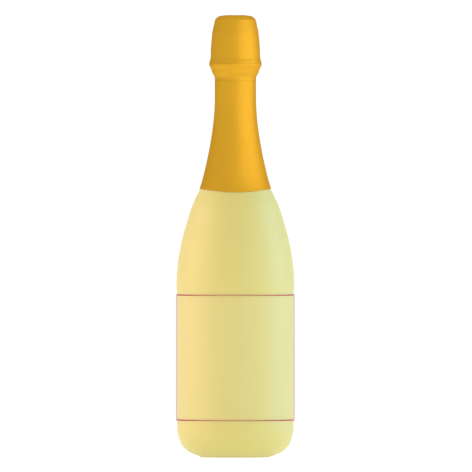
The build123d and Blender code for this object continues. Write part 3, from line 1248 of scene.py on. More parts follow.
    def build_wine(self) -> Piece:
        """Model the wine so that it wets the glass, with a meniscus at its fill level.

        Returns:
            The wine.
        """
        level = self.height - self.fill_drop
        wall = self.shoulder(self.cavity_radius + self.wetting, self.neck_bore + self.wetting)
        below = [point for point in wall if point[1] < level + self.meniscus]
        edge = below[-1][0]
        surface = [(edge * share, level + self.meniscus * share**self.meniscus_bend)
                   for share in self.surface_shares]
        outline = joined(self.floor(self.wetting), below, surface)
        return Modeller.lathe("wine", outline, WINE, closed=False)

    def build(self) -> list[Piece]:
        """Build the bottle and its wine, and return both."""
        return [attach(self.build_glass(), Body.BOTTLE, Slot.GLASS, "glass_bottle"),
                attach(self.build_wine(), Body.BOTTLE, Slot.WINE, "sparkling_wine")]


@dataclass
class Cork:
    """The cork: a stem of pressed granules with a wide head, and two discs of natural cork at its foot."""

    bottle: Bottle
    inserted: float = 24.0 * MM
    disc_thickness: float = 5.5 * MM
    clearance: float = 0.1 * MM
    seat_gap: float = 0.05 * MM
    head_radius: float = 15.45 * MM
    head_height: float = 17.6 * MM
    edge: float = 0.35 * MM
    groove: float = 0.35 * MM
    groove_angle: float = 4.5
    # Shares of the head's height between which the grooves reach their depth.
    groove_rise: Point = (0.1, 0.35)
    grain: float = 0.05 * MM
    grain_size: float = 1.8 * MM
    fine: float = 0.55 * MM
    # Directions of both ends of the head's line, then its shape as shares of its radius and height.
    head_start: Point = (1.0, 0.05)
    head_end: Point = (-0.6, 1.0)
    underside_shares: tuple[Point, ...] = ((0.800, 0.030), (0.955, 0.130))
    side_shares: tuple[Point, ...] = ((1.000, 0.300), (0.970, 0.536), (0.912, 0.779))
    crown_shares: tuple[Point, ...] = ((0.880, 0.862), (0.800, 0.945), (0.760, 1.000))

    @property
    def stem_radius(self) -> float:
        """Radius of the stem in the bore."""
        return self.bottle.bore_radius - self.clearance

    @property
    def base(self) -> float:
        """Height of the head's underside."""
        return self.bottle.height + self.seat_gap

    @property
    def top(self) -> float:
        """Height of the head's top."""
        return self.base + self.head_height

    def placed(self, shares: tuple[Point, ...]) -> list[Point]:
        """Points given as shares of the head's radius and height."""
        return [(out * self.head_radius, self.base + up * self.head_height) for out, up in shares]

    def squeezed(self, azimuth: float, radius: float, height: float) -> Point:
        """Press the marks of the cage's legs and the relief of the granules into the cork.

        Args:
            azimuth: where the point is, in degrees.
            radius: its radius.
            height: its height.

        Returns:
            The point's new radius and height.
        """
        head = step_up((height - self.base) / self.head_height, *self.groove_rise)
        press = sum(rib(azimuth, leg, self.groove_angle) for leg in LEG_AZIMUTHS)
        place = on_circle(radius, height, azimuth) / self.grain_size
        rim = step_up(radius, 0.5 * self.stem_radius, self.stem_radius)
        above = step_up(height, self.base, self.base + self.edge)
        return radius - rim * (head * press * self.groove - above * self.grain * noise.noise(place)), height

    def build_body(self) -> Piece:
        """Model the granule body with its mushroom head.

        Returns:
            The granule body.
        """
        foot = self.bottle.height - self.inserted + 2 * self.disc_thickness
        shape = self.placed((*self.underside_shares, *self.side_shares, *self.crown_shares))
        head = smooth_line([(self.stem_radius, self.base), *shape], self.head_start, self.head_end, self.fine)
        outline = joined(
            straight_line((0, foot), (self.stem_radius - self.edge, foot), 4 * self.fine),
            straight_line((self.stem_radius, foot + self.edge), (self.stem_radius, self.base), 2 * self.fine),
            head,
            straight_line((head[-1][0] - self.edge, self.top), (0, self.top), 2 * self.fine),
        )
        body = Modeller.lathe("cork_granules", outline, AGGLOMERATE, closed=False)
        return Modeller.press(body, self.squeezed)

    def build_disc(self, name: str, foot: float) -> Piece:
        """Model one disc of natural cork with broken edges.

        Args:
            name: name of the disc.
            foot: height of its underside.

        Returns:
            The disc.
        """
        top, rim = foot + self.disc_thickness, self.stem_radius
        outline = joined(
            straight_line((0, foot), (rim - self.edge, foot), 4 * self.fine),
            straight_line((rim, foot + self.edge), (rim, top - self.edge), 2 * self.fine),
            straight_line((rim - self.edge, top), (0, top), 4 * self.fine),
        )
        return Modeller.lathe(name, outline, CORK, closed=False)

    def build(self) -> None:
        """Build the cork."""
        foot = self.bottle.height - self.inserted
        attach(self.build_body(), Body.CORK, Slot.AGGLOMERATE, "cork_body")
        attach(self.build_disc("cork_wet_disc", foot), Body.CORK, Slot.CORK, "cork_lower_disc")
        attach(self.build_disc("cork_inner_disc", foot + self.disc_thickness), Body.CORK, Slot.CORK,
               "cork_upper_disc")


@dataclass
class Cage:
    """The wire cage: a pressed cap, a ring, four twisted legs, a belt and its pull loop."""

    bottle: Bottle
    cork: Cork
    leg_wire: float = 1.3 * MM
    ring_wire: float = 1.0 * MM
    belt_wire: float = 1.1 * MM
    slack: float = 0.1 * MM
    strand: float = 0.65 * MM
    leg_turns: float = 10.0
    # Lengths at the top and the foot of a leg where its strands lie straight.
    leg_plain: Point = (2.5 * MM, 3.0 * MM)
    leg_end_angle: float = 46.0
    # Angles between which a leg's ends are hooked round the ring and the belt.
    ring_hook: Point = (215.0, 60.0)
    belt_hook: Point = (20.0, -150.0)
    hook_steps: int = 6
    cap_radius: float = 13.1 * MM
    cap_sheet: float = 0.3 * MM
    cap_rim: float = 1.2 * MM
    cap_edge: float = 0.25 * MM
    cap_edge_steps: int = 4
    cap_fine: float = 0.4 * MM
    dome_radius: float = 9.6 * MM
    dome_height: float = 1.6 * MM
    dome_slope: float = 0.9 * MM
    stamp: Die = Die(7.9 * MM, rise=0.14 * MM, ring=1.0, reach=(0.4, 0.75), ring_width=0.28 * MM,
                     ray_edge=0.14 * MM, rays=20, wave=(0.5, 0.5))
    loop_root: float = 64.0
    loop_length: float = 13.5 * MM
    loop_width: float = 6.4 * MM
    loop_drop: float = 3.2 * MM
    stem_start: float = 0.9 * MM
    stem_length: float = 2.0 * MM
    stem_turns: float = 1.5
    # Where the loop's wire bends out from the stem, as shares of half its width.
    loop_neck: Point = (0.3, 0.55)
    loop_steps: int = 8
    foil_slack: float = 0.15 * MM
    fine: float = 0.3 * MM
    # The line from the cork's widest place to the bead, as shares of the way out and down.
    waist_shares: tuple[Point, ...] = ((0.19, 0.24), (0.36, 0.48), (0.40, 0.71), (0.53, 0.83), (0.86, 0.93))

    @property
    def flange(self) -> float:
        """Height of the underside of the cap's flange."""
        return self.cork.top + self.cork.seat_gap

    @property
    def ring(self) -> Point:
        """Radius and height of the top ring's middle line."""
        return (self.dome_radius + self.dome_slope + self.slack + self.ring_wire / 2,
                self.flange + self.cap_sheet + (self.slack + self.ring_wire) / 2)

    @property
    def belt(self) -> Point:
        """Radius and height of the belt's middle line, seated under the bead.

        Returns:
            The radius and the height.
        """
        arc, centre = self.bottle.bead_arc
        radius = self.bottle.neck_radius + self.slack + self.belt_wire / 2
        reach = arc + self.slack + self.belt_wire / 2
        return radius, self.bottle.bead_height_centre - math.sqrt(reach**2 - (radius - centre) ** 2)

    @property
    def loop_track(self) -> float:
        """Radius at which the pull loop lies."""
        return self.bottle.bead_radius + 2 * self.slack + self.foil_slack + self.belt_wire / 2

    @property
    def loop_height(self) -> float:
        """Height of the pull loop's middle line."""
        return self.belt[1] - self.loop_drop

    def wrap_line(self, build: float, foot: float) -> list[Point]:
        """Line at some build over the cork and the bead, from its foot up to the cap's edge.

        Args:
            build: how far out the line lies.
            foot: height at which it starts.

        Returns:
            Radius and height of each point.
        """
        sides = self.cork.placed(self.cork.side_shares)
        widest, bead = sides[0], self.bottle.bead_radius
        waist = [(widest[0] + out * (bead - widest[0]) + build, widest[1] - down * (widest[1] - foot))
                 for out, down in reversed(self.waist_shares)]
        return [(bead + build, foot), *waist, *[(radius + build, height) for radius, height in sides]]

    def build_cap(self) -> Piece:
        """Model the pressed cap, with a stamped ring and rays on its dome.

        Returns:
            The cap.
        """
        dome_foot, dome = self.dome_radius + self.dome_slope, self.flange + self.dome_height
        sheet, edge = self.cap_sheet, self.cap_edge
        under = joined(
            straight_line((0, dome), (self.dome_radius - sheet, dome), self.cap_fine),
            [(dome_foot - sheet, self.flange), (self.cap_radius - sheet, self.flange),
             (self.cap_radius - sheet, self.flange - self.cap_rim)],
        )
        over = joined(
            [(self.cap_radius, self.flange - self.cap_rim)],
            arc_line((self.cap_radius - edge, self.flange + sheet - edge), edge, 0, 90, self.cap_edge_steps),
            [(dome_foot, self.flange + sheet)],
            straight_line((self.dome_radius, dome + sheet), (0, dome + sheet), self.cap_fine),
        )
        cap = Modeller.lathe("cage_pressed_cap", under + over, CAP, closed=False)
        return Modeller.press(cap, self.stamp.pressed)

    def leg_route(self, azimuth: float) -> list[Vector]:
        """Lay out the middle line of a leg: over the ring, down the cork, round bead and belt.

        Args:
            azimuth: where the leg comes down, in degrees.

        Returns:
            Evenly spaced points.
        """
        arc, centre = self.bottle.bead_arc
        build = self.slack + self.leg_wire / 2
        corner = (self.cap_radius + build, self.flange + self.cap_sheet + build)
        sides = list(reversed(self.wrap_line(build, self.bottle.bead_height_centre + 2 * self.slack)))
        hook = arc_line((centre, self.bottle.bead_height_centre), arc + build, -self.leg_end_angle / 3,
                        -self.leg_end_angle, 2)
        over = arc_line(self.ring, (self.ring_wire + self.strand) / 2, *self.ring_hook, self.hook_steps)
        under = arc_line(self.belt, (self.belt_wire + self.strand) / 2, *self.belt_hook, self.hook_steps)
        line = [*over, corner, *sides, *hook, *under]
        return rounded_route([on_circle(radius, height, azimuth) for radius, height in line], self.fine)

    def wound(self, route: list[Vector], turns: float, across: Vector,
              plain: Point = (0.0, 0.0)) -> list[Piece]:
        """Lay two strands that wind round each other along a route.

        Args:
            route: evenly spaced points of the middle line.
            turns: how often the strands wind round each other.
            across: direction in which they lie side by side at the start.
            plain: lengths at the start and at the end where they don't wind.

        Returns:
            Both strands.
        """
        strands = twisted_pair(route, self.strand, turns, across, plain)
        return [Modeller.wire(f"strand_{i}", strand, self.strand, WIRE) for i, strand in enumerate(strands)]

    def build_leg(self, number: int, azimuth: float) -> Piece:
        """Model one leg as two strands twisted together.

        Args:
            number: number of the leg.
            azimuth: where it comes down.

        Returns:
            The leg.
        """
        wires = self.wound(self.leg_route(azimuth), self.leg_turns, on_circle(1, 0, azimuth + 90),
                           self.leg_plain)
        return Modeller.merge(f"cage_twisted_leg_{number}", wires, WIRE)

    def circle(self, place: Point) -> list[Vector]:
        """Points on a circle of a given radius and height."""
        return [on_circle(*place, 360 * i / AROUND) for i in range(AROUND)]

    def build_belt(self) -> Piece:
        """Model the belt and the twisted stub that carries the loop.

        Returns:
            The belt with its stub.
        """
        belt = Modeller.wire("belt_ring", self.circle(self.belt), self.belt_wire, WIRE, ring=True)
        start = on_circle(*self.belt, self.loop_root)
        end = on_circle(self.loop_track - self.stem_start / 2, self.loop_height, self.loop_root)
        stub = rounded_route([start, end], self.fine)
        wires = self.wound(stub, self.stem_turns, on_circle(1, 0, self.loop_root + 90))
        return Modeller.merge("cage_belt_wire", [belt, *wires], WIRE)

    def build_loop(self) -> Piece:
        """Model the pull loop, folded round the neck.

        Returns:
            The loop.
        """
        def on_track(along: float, up: float) -> Vector:
            """Point at a length along the neck from the loop's root."""
            turn = math.degrees(along / self.loop_track)
            return on_circle(self.loop_track, self.loop_height + up, self.loop_root + turn)

        half, tight = (self.loop_width - self.belt_wire) / 2, self.belt_wire / 2
        near, far = self.stem_start + self.stem_length, self.loop_length - half
        bend = arc_line((far, 0), half, 90, -90, self.loop_steps)
        along, up = self.loop_neck
        shoulder = [(near, tight), (near + along * half, up * half), (near + half, half)]
        outline = [*shoulder, *bend, *[(x, -y) for x, y in reversed(shoulder)]]
        oval = rounded_route([on_track(*place) for place in outline], self.fine)
        stem = rounded_route([on_track(self.stem_start, 0), on_track(near / 2, 0), on_track(near + tight, 0)],
                             self.fine)
        eye = Modeller.wire("oval", oval, self.belt_wire, WIRE)
        strands = self.wound(stem, self.stem_turns, Vector((0, 0, 1)))
        return Modeller.merge("cage_pull_loop", [eye, *strands], WIRE)

    def build(self) -> None:
        """Build the cage."""
        attach(self.build_cap(), Body.CAGE, Slot.CAP, "cage_cap")
        ring = Modeller.wire("cage_ring", self.circle(self.ring), self.ring_wire, WIRE, ring=True)
        attach(ring, Body.CAGE, Slot.WIRE, "cage_top_ring")
        for number, azimuth in enumerate(LEG_AZIMUTHS, start=1):
            attach(self.build_leg(number, azimuth), Body.CAGE, Slot.WIRE, f"cage_leg_{number}")
        attach(self.build_belt(), Body.CAGE, Slot.WIRE, "cage_belt")
        attach(self.build_loop(), Body.LOOP, Slot.WIRE, "cage_loop")


@dataclass
class Foil:
    """The gold foil: a hood with a pressed top, a tear strip with its tab and its flap, and a skirt."""

    bottle: Bottle
    cage: Cage
    thickness: float = 0.3 * MM
    gap: float = 0.15 * MM
    skirt_length: float = 78.5 * MM
    skirt_drop: float = 26.0 * MM
    tear_gap: float = 0.015 * MM
    edge_rise: float = 0.25 * MM
    crown: float = 2.4 * MM
    belt_bulge: float = 0.45 * MM
    foot_height: float = 2.1 * MM
    belt_drop: float = 2.7 * MM
    wrap_share: float = 1.25
    # The blister over the pull loop, the opening left in it and the flap that fills the opening.
    blister: Point = (59.0, 110.0)
    blister_slack: float = 0.5 * MM
    blister_soft: float = 1.1 * MM
    opening: Point = (60.0, 109.5)
    flap_start: float = 63.0
    flap_slack: float = 0.3 * MM
    flap_shrink: Point = (0.992, 0.98)
    tab_azimuths: Point = (124.0, 152.0)
    tab_width: float = 4.6 * MM
    tab_drop: float = 2.2 * MM
    tab_lift: float = 0.3 * MM
    # How deep the tab's root lies and over which share of the tab it rises; where the round end starts
    # and how long it is; the height and width of a rib. Lengths along the tab are shares of it.
    tab_root: Point = (0.75 * MM, 0.35)
    tab_round: Point = (0.72, 0.281)
    tab_rib: Point = (0.12 * MM, 0.025)
    tab_ribs: tuple[float, ...] = (0.6, 0.7, 0.8)
    tab_taper: float = 0.06
    tab_grid: tuple[int, int] = (40, 14)
    tab_weld: float = 0.02 * MM
    dip: float = 2.5 * MM
    dip_reach: float = 24.0 * MM
    edge_reach: float = 5.0 * MM
    hood_plain: float = 4.0 * MM
    leg_rise: float = 0.1 * MM
    leg_angle: float = 5.0
    crease: float = 0.07 * MM
    # Waves round the bottle, length along it and seed of each kind of crease.
    long_creases: tuple[float, float, float] = (14, 30 * MM, 3.1)
    short_creases: tuple[float, float, float] = (34, 9 * MM, 7.7)
    frill: float = 0.042 * MM
    frills: tuple[float, float, float] = (60, 1.0, 5.5)
    notch: float = 0.12 * MM
    notch_every: int = 3
    seam: Point = (84.0, 97.0)
    seam_rise: float = 0.2 * MM
    seam_soft: float = 0.8
    fine: float = 0.8 * MM
    steps: int = 240
    # The top's rounded rim, as shares of the way in and up.
    disc_shares: tuple[Point, ...] = ((0.035, 0.23), (0.10, 0.52), (0.19, 0.76), (0.33, 0.88))

    @property
    def build_up(self) -> float:
        """How far the foil's outside lies over the cork or the bead, with a leg between."""
        return self.cage.slack + self.cage.leg_wire + self.cage.foil_slack + self.thickness

    @property
    def hood_top(self) -> float:
        """Height of the hood's upper edge."""
        return self.cage.flange + self.cage.cap_sheet + self.edge_rise

    @property
    def hood_top_radius(self) -> float:
        """Radius of the hood's upper edge."""
        return self.cage.cap_radius + self.build_up

    @property
    def die(self) -> Die:
        """Ornament of the top, as wide as the hood's upper edge."""
        return Die(self.hood_top_radius, rise=0.105 * MM, ring=0.72, reach=(0.34, 0.58),
                   ring_width=0.28 * MM, ray_edge=0.28 * MM, rays=30, wave=(0.0, 1.0))

    @property
    def skirt_top(self) -> float:
        """Height of the tear line between the skirt and the strip."""
        return self.bottle.height - self.skirt_drop

    def sheet(self, name: str, outside: list[Point]) -> Piece:
        """Turn a thin sheet whose outside follows a line."""
        inside = [(radius - self.thickness, height) for radius, height in reversed(outside)]
        return Modeller.lathe(name, outside + inside, FOIL, steps=self.steps)

    def creased(self, azimuth: float, height: float) -> float:
        """How far hand-smoothed creases lift the foil at a place."""
        short = 0.5 * ripple(azimuth, height, *self.short_creases)
        return self.crease * (ripple(azimuth, height, *self.long_creases) + short)

    def notched(self, azimuth: float) -> float:
        """How far the perforation cuts in at an azimuth."""
        return self.notch if round(azimuth * self.steps / 360) % self.notch_every == 0 else 0.0

    def build_hood(self) -> Piece:
        """Model the hood, drawn over the cage's legs, with a perforated lower edge.

        Returns:
            The hood.
        """
        foot = self.bottle.bead_height_centre + self.tear_gap
        line = [*self.cage.wrap_line(self.build_up, foot), (self.hood_top_radius, self.hood_top)]
        start = (line[1][0] - line[0][0], line[1][1] - line[0][1])
        end = (line[-1][0] - line[-2][0], line[-1][1] - line[-2][1])
        hood = self.sheet("hood_foil", smooth_line(line, start, end, self.fine))

        def drawn(azimuth: float, radius: float, height: float) -> Point:
            """Let the legs show through and cut the perforation.

            Args:
                azimuth: where the point is, in degrees.
                radius: its radius.
                height: its height.

            Returns:
                The point's new radius and height.
            """
            over = window(height, foot + self.hood_plain, self.hood_top - self.hood_plain, self.hood_plain)
            legs = sum(rib(azimuth, leg, self.leg_angle) for leg in LEG_AZIMUTHS)
            lift = over * (self.leg_rise * legs + self.creased(azimuth, height))
            cut = self.notched(azimuth) if height < foot + self.tear_gap else 0.0
            return radius + lift, height + cut

        return Modeller.press(hood, drawn)

    def build_top(self) -> Piece:
        """Model the pressed top with its embossed ring and rays.

        Returns:
            The top.
        """
        foot, top = self.hood_top, self.hood_top + self.cage.leg_wire + self.crown
        radius = self.hood_top_radius
        line = [(radius, foot)]
        line += [(radius * (1 - out), foot + up * (top - foot)) for out, up in self.disc_shares]
        outside = smooth_line([*line, (0, top)], UP, IN, 0.5 * self.fine)
        lower = [(out - self.thickness, height) for out, height in line]
        inside = smooth_line([*lower, (0, top - self.thickness)], UP, IN, 0.5 * self.fine)
        piece = Modeller.lathe("foil_pressed_top", [*reversed(inside), *outside], FOIL, closed=False,
                               steps=self.steps)
        return Modeller.press(piece, self.die.pressed)

    def strip_line(self) -> list[Point]:
        """Outside of the tear strip, from the skirt over the belt to the bead.

        Returns:
            Radius and height of each point.
        """
        arc, centre = self.bottle.bead_arc
        middle, foot = self.bottle.bead_height_centre, self.skirt_top + self.tear_gap
        neck = self.bottle.neck_radius + self.gap + self.thickness
        belt, belt_height = self.cage.belt
        belt_foil = belt + self.cage.belt_wire / 2 + self.cage.foil_slack + self.thickness + self.belt_bulge
        wrap = self.cage.leg_end_angle * self.wrap_share
        over = arc_line((centre, middle), arc + self.build_up, -wrap * 2 / 3, 0, 2)
        bend = [(neck, foot + self.foot_height), (belt_foil, belt_height - self.belt_drop), *over]
        return joined(straight_line((neck, foot), bend[0], 0.5 * self.fine),
                      smooth_line(bend, UP, UP, 0.5 * self.fine))

    def build_strip(self) -> Piece:
        """Model the tear strip with its blister over the pull loop and its perforated edges.

        Returns:
            The whole strip, without its opening.
        """
        line = self.strip_line()
        strip = self.sheet("tear_strip", line)
        heights, radii = [point[1] for point in line], [point[0] for point in line]
        foot, top = heights[0], heights[-1]
        crest = self.bottle.bead_radius + self.build_up
        middle = self.cage.loop_height
        reach = self.cage.loop_width / 2 + self.blister_slack
        inset = math.degrees(reach / crest)
        first, last = self.blister[0] + inset, self.blister[1] - inset

        def blistered(azimuth: float, radius: float, height: float) -> Point:
            """Lift the blister and cut both perforations.

            Args:
                azimuth: where the point is, in degrees.
                radius: its radius.
                height: its height.

            Returns:
                The point's new radius and height.
            """
            full = crest - float(np.interp(height, heights, radii))
            past = max(first - azimuth, azimuth - last, 0.0)
            away = math.hypot(math.radians(past) * crest, max(0.0, middle - height))
            lift = full * (1 - step_up(away, reach, reach + self.blister_soft))
            crease = self.creased(azimuth, height) * window(height, foot + MM, top - MM, MM)
            cut = self.notched(azimuth)
            shift = cut if height < foot + self.tear_gap else -cut if height > top - self.tear_gap else 0.0
            return radius + lift + crease, height + shift

        return Modeller.press(strip, blistered)

    def cut_flap(self, strip: Piece) -> Piece:
        """Cut the flap over the pull loop out of the tear strip, so that it swings out with the loop.

        Args:
            strip: the whole tear strip, which is left with an opening.

        Returns:
            The flap.
        """
        middle = self.cage.loop_height
        reach = self.cage.loop_width / 2 + self.flap_slack
        start, end = self.opening
        flap = Modeller.trimmed(
            Modeller.copied(strip, "loop_flap"),
            lambda azimuth, height: self.flap_start < azimuth < end and abs(height - middle) < reach)
        Modeller.trimmed(
            strip,
            lambda azimuth, height: not (start < azimuth < end and abs(height - middle) < reach))
        centre, (along, up) = (self.flap_start + end) / 2, self.flap_shrink
        for vertex in flap.data.vertices:
            x, y, z = vertex.co
            azimuth = centre + (azimuth_of(x, y) - centre) * along
            vertex.co = on_circle(math.hypot(x, y), middle + (z - middle) * up, azimuth)
        flap.data.update()
        return flap

    def build_tab(self) -> Piece:
        """Model the free end of the strip: a rounded tab with grip ribs, bent a little off the neck.

        Returns:
            The tab.
        """
        start, end = self.tab_azimuths
        inner = self.bottle.bead_radius + self.tab_lift
        middle = self.cage.belt[1] - self.tab_drop
        Modeller.clear_selection()
        columns, rows = self.tab_grid
        bpy.ops.mesh.primitive_grid_add(x_subdivisions=columns, y_subdivisions=rows, size=1)
        tab = bpy.context.object
        drop, root = self.tab_root
        bow, bow_length = self.tab_round
        rib_height, rib_width = self.tab_rib
        for vertex in tab.data.vertices:
            along, across = vertex.co.x + 0.5, 2 * vertex.co.y
            rounded = math.sqrt(max(0.0, 1 - max(0.0, (along - bow) / bow_length) ** 2))
            ribs = sum(bump(along, place, rib_width) for place in self.tab_ribs)
            rise = step_up(along, 0.0, root)
            radius = inner - drop * (1 - rise) + rib_height * ribs * (1 - across**4)
            height = middle + across * rounded * (0.5 - self.tab_taper * rise) * self.tab_width
            vertex.co = on_circle(radius, height, start + along * (end - start))
        tab.data.update()
        solid = tab.modifiers.new("sheet", "SOLIDIFY")
        solid.thickness, solid.offset = self.thickness, 1.0
        bpy.ops.object.modifier_apply(modifier=solid.name)
        Modeller.weld(self.tab_weld)
        return Modeller.settle(tab, "tear_tab_foil", FOIL)

    def build_skirt(self) -> Piece:
        """Model the skirt with its overlap at the back and a lower edge that dips at the front.

        Returns:
            The skirt.
        """
        bottle, bottom = self.bottle, self.skirt_top - self.skirt_length
        out = self.gap + self.thickness
        whole = joined(bottle.shoulder(bottle.body_radius + out, bottle.neck_radius + out),
                       [(bottle.neck_radius + out, self.skirt_top)])
        heights, radii = [point[1] for point in whole], [point[0] for point in whole]
        count = round(self.skirt_length / self.fine)
        places = [bottom + self.skirt_length * i / count for i in range(count + 1)]
        skirt = self.sheet("skirt_foil", [(float(np.interp(z, heights, radii)), z) for z in places])

        def wrapped(azimuth: float, radius: float, height: float) -> Point:
            """Lower the front of the edge, lay the overlap and crease the foil.

            Args:
                azimuth: where the point is, in degrees.
                radius: its radius.
                height: its height.

            Returns:
                The point's new radius and height.
            """
            near = 1 - step_up(height, bottom, bottom + self.dip_reach)
            lower = height - self.dip * near * (0.5 - 0.5 * math.cos(2 * math.radians(azimuth)))
            follow = float(np.interp(lower, heights, radii) - np.interp(height, heights, radii))
            edge = 1 - step_up(height, bottom, bottom + self.edge_reach)
            crease = self.creased(azimuth, height) * window(height, bottom, self.skirt_top - MM, MM)
            frill = self.frill * edge * ripple(azimuth, 0.0, *self.frills)
            seam = self.seam_rise * window(azimuth, *self.seam, self.seam_soft)
            cut = self.notched(azimuth) if height > self.skirt_top - self.tear_gap else 0.0
            return radius + follow + crease + frill + seam, lower - cut

        return Modeller.press(skirt, wrapped)

    def build(self) -> None:
        """Build the foil."""
        attach(self.build_hood(), Body.HOOD, Slot.FOIL, "foil_hood")
        attach(self.build_top(), Body.HOOD, Slot.FOIL, "foil_top_disc")
        strip = self.build_strip()
        attach(self.cut_flap(strip), Body.LOOP, Slot.FOIL)
        attach(strip, Body.BOTTLE, Slot.FOIL, "foil_tear_strip")
        attach(self.build_tab(), Body.TAB, Slot.FOIL, "foil_tear_tab")
        attach(self.build_skirt(), Body.BOTTLE, Slot.FOIL, "foil_skirt")


@dataclass
class Label:
    """The clear label on the front and the printed border of dots along its edges."""

    bottle: Bottle
    height: float = 91.9 * MM
    margin_below: float = 4.9 * MM
    thickness: float = 0.2 * MM
    gap: float = 0.1 * MM
    azimuths: Point = (180.0, 360.0)
    dot: float = 0.84 * MM
    dot_rise: float = 0.75 * MM
    dot_faces: tuple[int, int] = (8, 6)
    pitch: float = 1.48 * MM

    @property
    def radius(self) -> float:
        """Radius of the film's outside."""
        return self.bottle.panel_radius + self.gap + self.thickness

    def one_dot(self, azimuth: float, height: float) -> Piece:
        """Model one dot of raised ink.

        Args:
            azimuth: where it sits, in degrees.
            height: how high it sits.

        Returns:
            The dot.
        """
        Modeller.clear_selection()
        around, along = self.dot_faces
        bpy.ops.mesh.primitive_uv_sphere_add(segments=around, ring_count=along, radius=self.dot / 2)
        dot = bpy.context.object
        dot.scale = (self.dot_rise / (self.dot / 2), 1, 1)
        dot.rotation_euler = (0, 0, math.radians(azimuth))
        dot.location = on_circle(self.radius, height, azimuth)
        bpy.ops.object.transform_apply(location=True, rotation=True, scale=True)
        return dot

    def spread(self, dot: Piece, turn: float, across: int, rise: float, up: int) -> Piece:
        """Copy a dot in even steps round the bottle and up it.

        Args:
            dot: the dot at the lowest, first place.
            turn: step round the bottle, in degrees.
            across: how many dots lie round the bottle.
            rise: step up the bottle.
            up: how many dots lie above each other.

        Returns:
            All the dots as one object.
        """
        pivot = bpy.data.objects.new("pivot", None)
        bpy.context.collection.objects.link(pivot)
        pivot.rotation_euler = (0, 0, math.radians(turn))
        bpy.context.view_layer.update()
        for count, pivoted in ((across, True), (up, False)):
            row = dot.modifiers.new("row", "ARRAY")
            row.count, row.use_relative_offset = count, False
            row.use_object_offset, row.use_constant_offset = pivoted, not pivoted
            if pivoted:
                row.offset_object = pivot
            row.constant_offset_displace = (0, 0, rise)
            bpy.ops.object.modifier_apply(modifier=row.name)
        bpy.data.objects.remove(pivot)
        return dot

    def dress_film(self) -> None:
        """Give the part's own label film its finish."""
        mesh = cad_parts["label_film"].data
        mesh.materials.clear()
        mesh.materials.append(FILM.material())

    def build(self) -> None:
        """Dress the film and print its border."""
        self.dress_film()
        inset = self.dot / 2
        low = self.bottle.panel_bottom + self.margin_below + inset
        tall = self.height - 2 * inset
        side = math.degrees(inset / self.radius)
        first, last = self.azimuths[0] + side, self.azimuths[1] - side
        across = round(math.radians(last - first) * self.radius / self.pitch) + 1
        up = round(tall / self.pitch) + 1
        rows = self.spread(self.one_dot(first, low), (last - first) / (across - 1), across, tall, 2)
        step = tall / (up - 1)
        columns = self.spread(self.one_dot(first, low + step), last - first, 2, step, up - 2)
        attach(Modeller.merge("label_border", [rows, columns], INK), Body.BOTTLE, Slot.LABEL)


@dataclass(frozen=True)
class Softbox:
    """A softbox beside the bottle; its azimuth goes from the camera's own side to the right, in degrees."""

    name: str
    azimuth: float
    elevation: float
    distance: float
    size: Point
    power: float
    tint: Colour

    def hang(self, aim: Vector) -> Piece:
        """Hang the softbox so that it faces a point.

        Args:
            aim: the point.

        Returns:
            The light.
        """
        out = on_circle(math.cos(math.radians(self.elevation)), math.sin(math.radians(self.elevation)),
                        self.azimuth - 90)
        bpy.ops.object.light_add(type="AREA", location=aim + self.distance * out)
        lamp = bpy.context.object
        lamp.name = self.name
        lamp.rotation_euler = (-out).to_track_quat("-Z", "Y").to_euler()
        lamp.data.shape = "RECTANGLE"
        lamp.data.size, lamp.data.size_y = self.size
        lamp.data.energy = self.power
        lamp.data.color = self.tint
        lamp.visible_camera = False
        return lamp


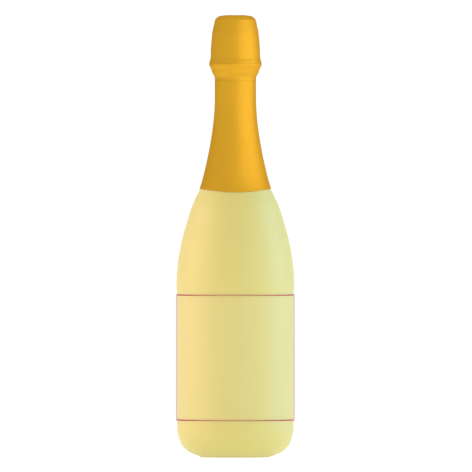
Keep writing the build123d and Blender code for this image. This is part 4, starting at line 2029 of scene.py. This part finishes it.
@dataclass
class Studio:
    """Floor, light and camera."""

    # The photograph: what a pixel measures at the bottle, its width, and where the bottle stands in it.
    pixel: float = 0.7292 * MM
    picture: float = 472.0
    axis_x_px: float = 235.4
    base_y_px: float = 457.3
    # The camera.
    distance: float = 14.0
    elevation: float = 0.25
    reach: float = 100.0
    sensor: float = 36.0
    # The surroundings, and the height that the softboxes face.
    floor_size: float = 2.2
    world: float = 1.05
    lit_height: float = 0.16
    key: Softbox = Softbox("key", 62.0, 6.0, 1.8, (3.4, 1.9), 21.0, (1.0, 0.955, 1.15))
    sides: tuple[Softbox, ...] = (
        Softbox("warm_side", -84.0, 2.0, 1.6, (1.8, 2.0), 34.0, (1.0, 0.62, 0.58)),
        Softbox("cool_side", 95.0, 2.0, 1.6, (1.2, 2.0), 24.0, (0.05, 0.46, 1.0)))
    side_lights: list[Piece] = field(default_factory=list)

    def build_floor(self) -> None:
        """Lay a plain pale floor."""
        Modeller.clear_selection()
        bpy.ops.mesh.primitive_plane_add(size=self.floor_size, location=(0, 0, 0))
        floor = Modeller.settle(bpy.context.object, "floor", FLOOR)

    def build_world(self) -> None:
        """Surround the bottle with soft white light."""
        world = bpy.data.worlds.new("studio")
        world.use_nodes = True
        background = world.node_tree.nodes["Background"]
        background.inputs["Color"].default_value = (1, 1, 1, 1)
        background.inputs["Strength"].default_value = self.world
        bpy.context.scene.world = world

    def build_lights(self) -> None:
        """Hang the softboxes."""
        aim = Vector((0, 0, self.lit_height))
        self.key.hang(aim)
        self.side_lights = [softbox.hang(aim) for softbox in self.sides]

    def flag_side_lights(self, lit: list[Piece]) -> None:
        """Flag the side lights so that they reach only some pieces.

        Args:
            lit: the pieces that they light.
        """
        reached = bpy.data.collections.new("side_lit")
        for piece in lit:
            reached.objects.link(piece)
        for lamp in self.side_lights:
            lamp.light_linking.receiver_collection = reached

    def build_camera(self) -> None:
        """Set up the camera at the photograph's height and distance."""
        aim = Vector(((self.picture / 2 - self.axis_x_px) * self.pixel, 0,
                      (self.base_y_px - self.picture / 2) * self.pixel))
        rise = math.radians(self.elevation)
        place = aim + self.distance * Vector((0, -math.cos(rise), math.sin(rise)))
        bpy.ops.object.camera_add(location=place)
        camera = bpy.context.object
        camera.rotation_euler = (aim - place).to_track_quat("-Z", "Y").to_euler()
        camera.data.sensor_width = self.sensor
        camera.data.lens = self.sensor * self.distance / (self.picture * self.pixel)
        camera.data.clip_end = self.reach
        bpy.context.scene.camera = camera

    def build(self) -> None:
        """Build the whole studio."""
        bpy.context.scene.view_settings.view_transform = "Standard"
        self.build_floor()
        self.build_world()
        self.build_lights()
        self.build_camera()


def main() -> None:
    """Build the studio and every piece of the bottle."""
    logging.basicConfig(level=logging.INFO, format="%(name)s: %(message)s")
    studio = Studio()
    studio.build()
    bottle = Bottle()
    lit = bottle.build()
    cork = Cork(bottle)
    cork.build()
    cage = Cage(bottle, cork)
    cage.build()
    Foil(bottle, cage).build()
    Label(bottle).build()
    studio.flag_side_lights([*lit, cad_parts["label_film"]])


if __name__ == "__main__":
    main()
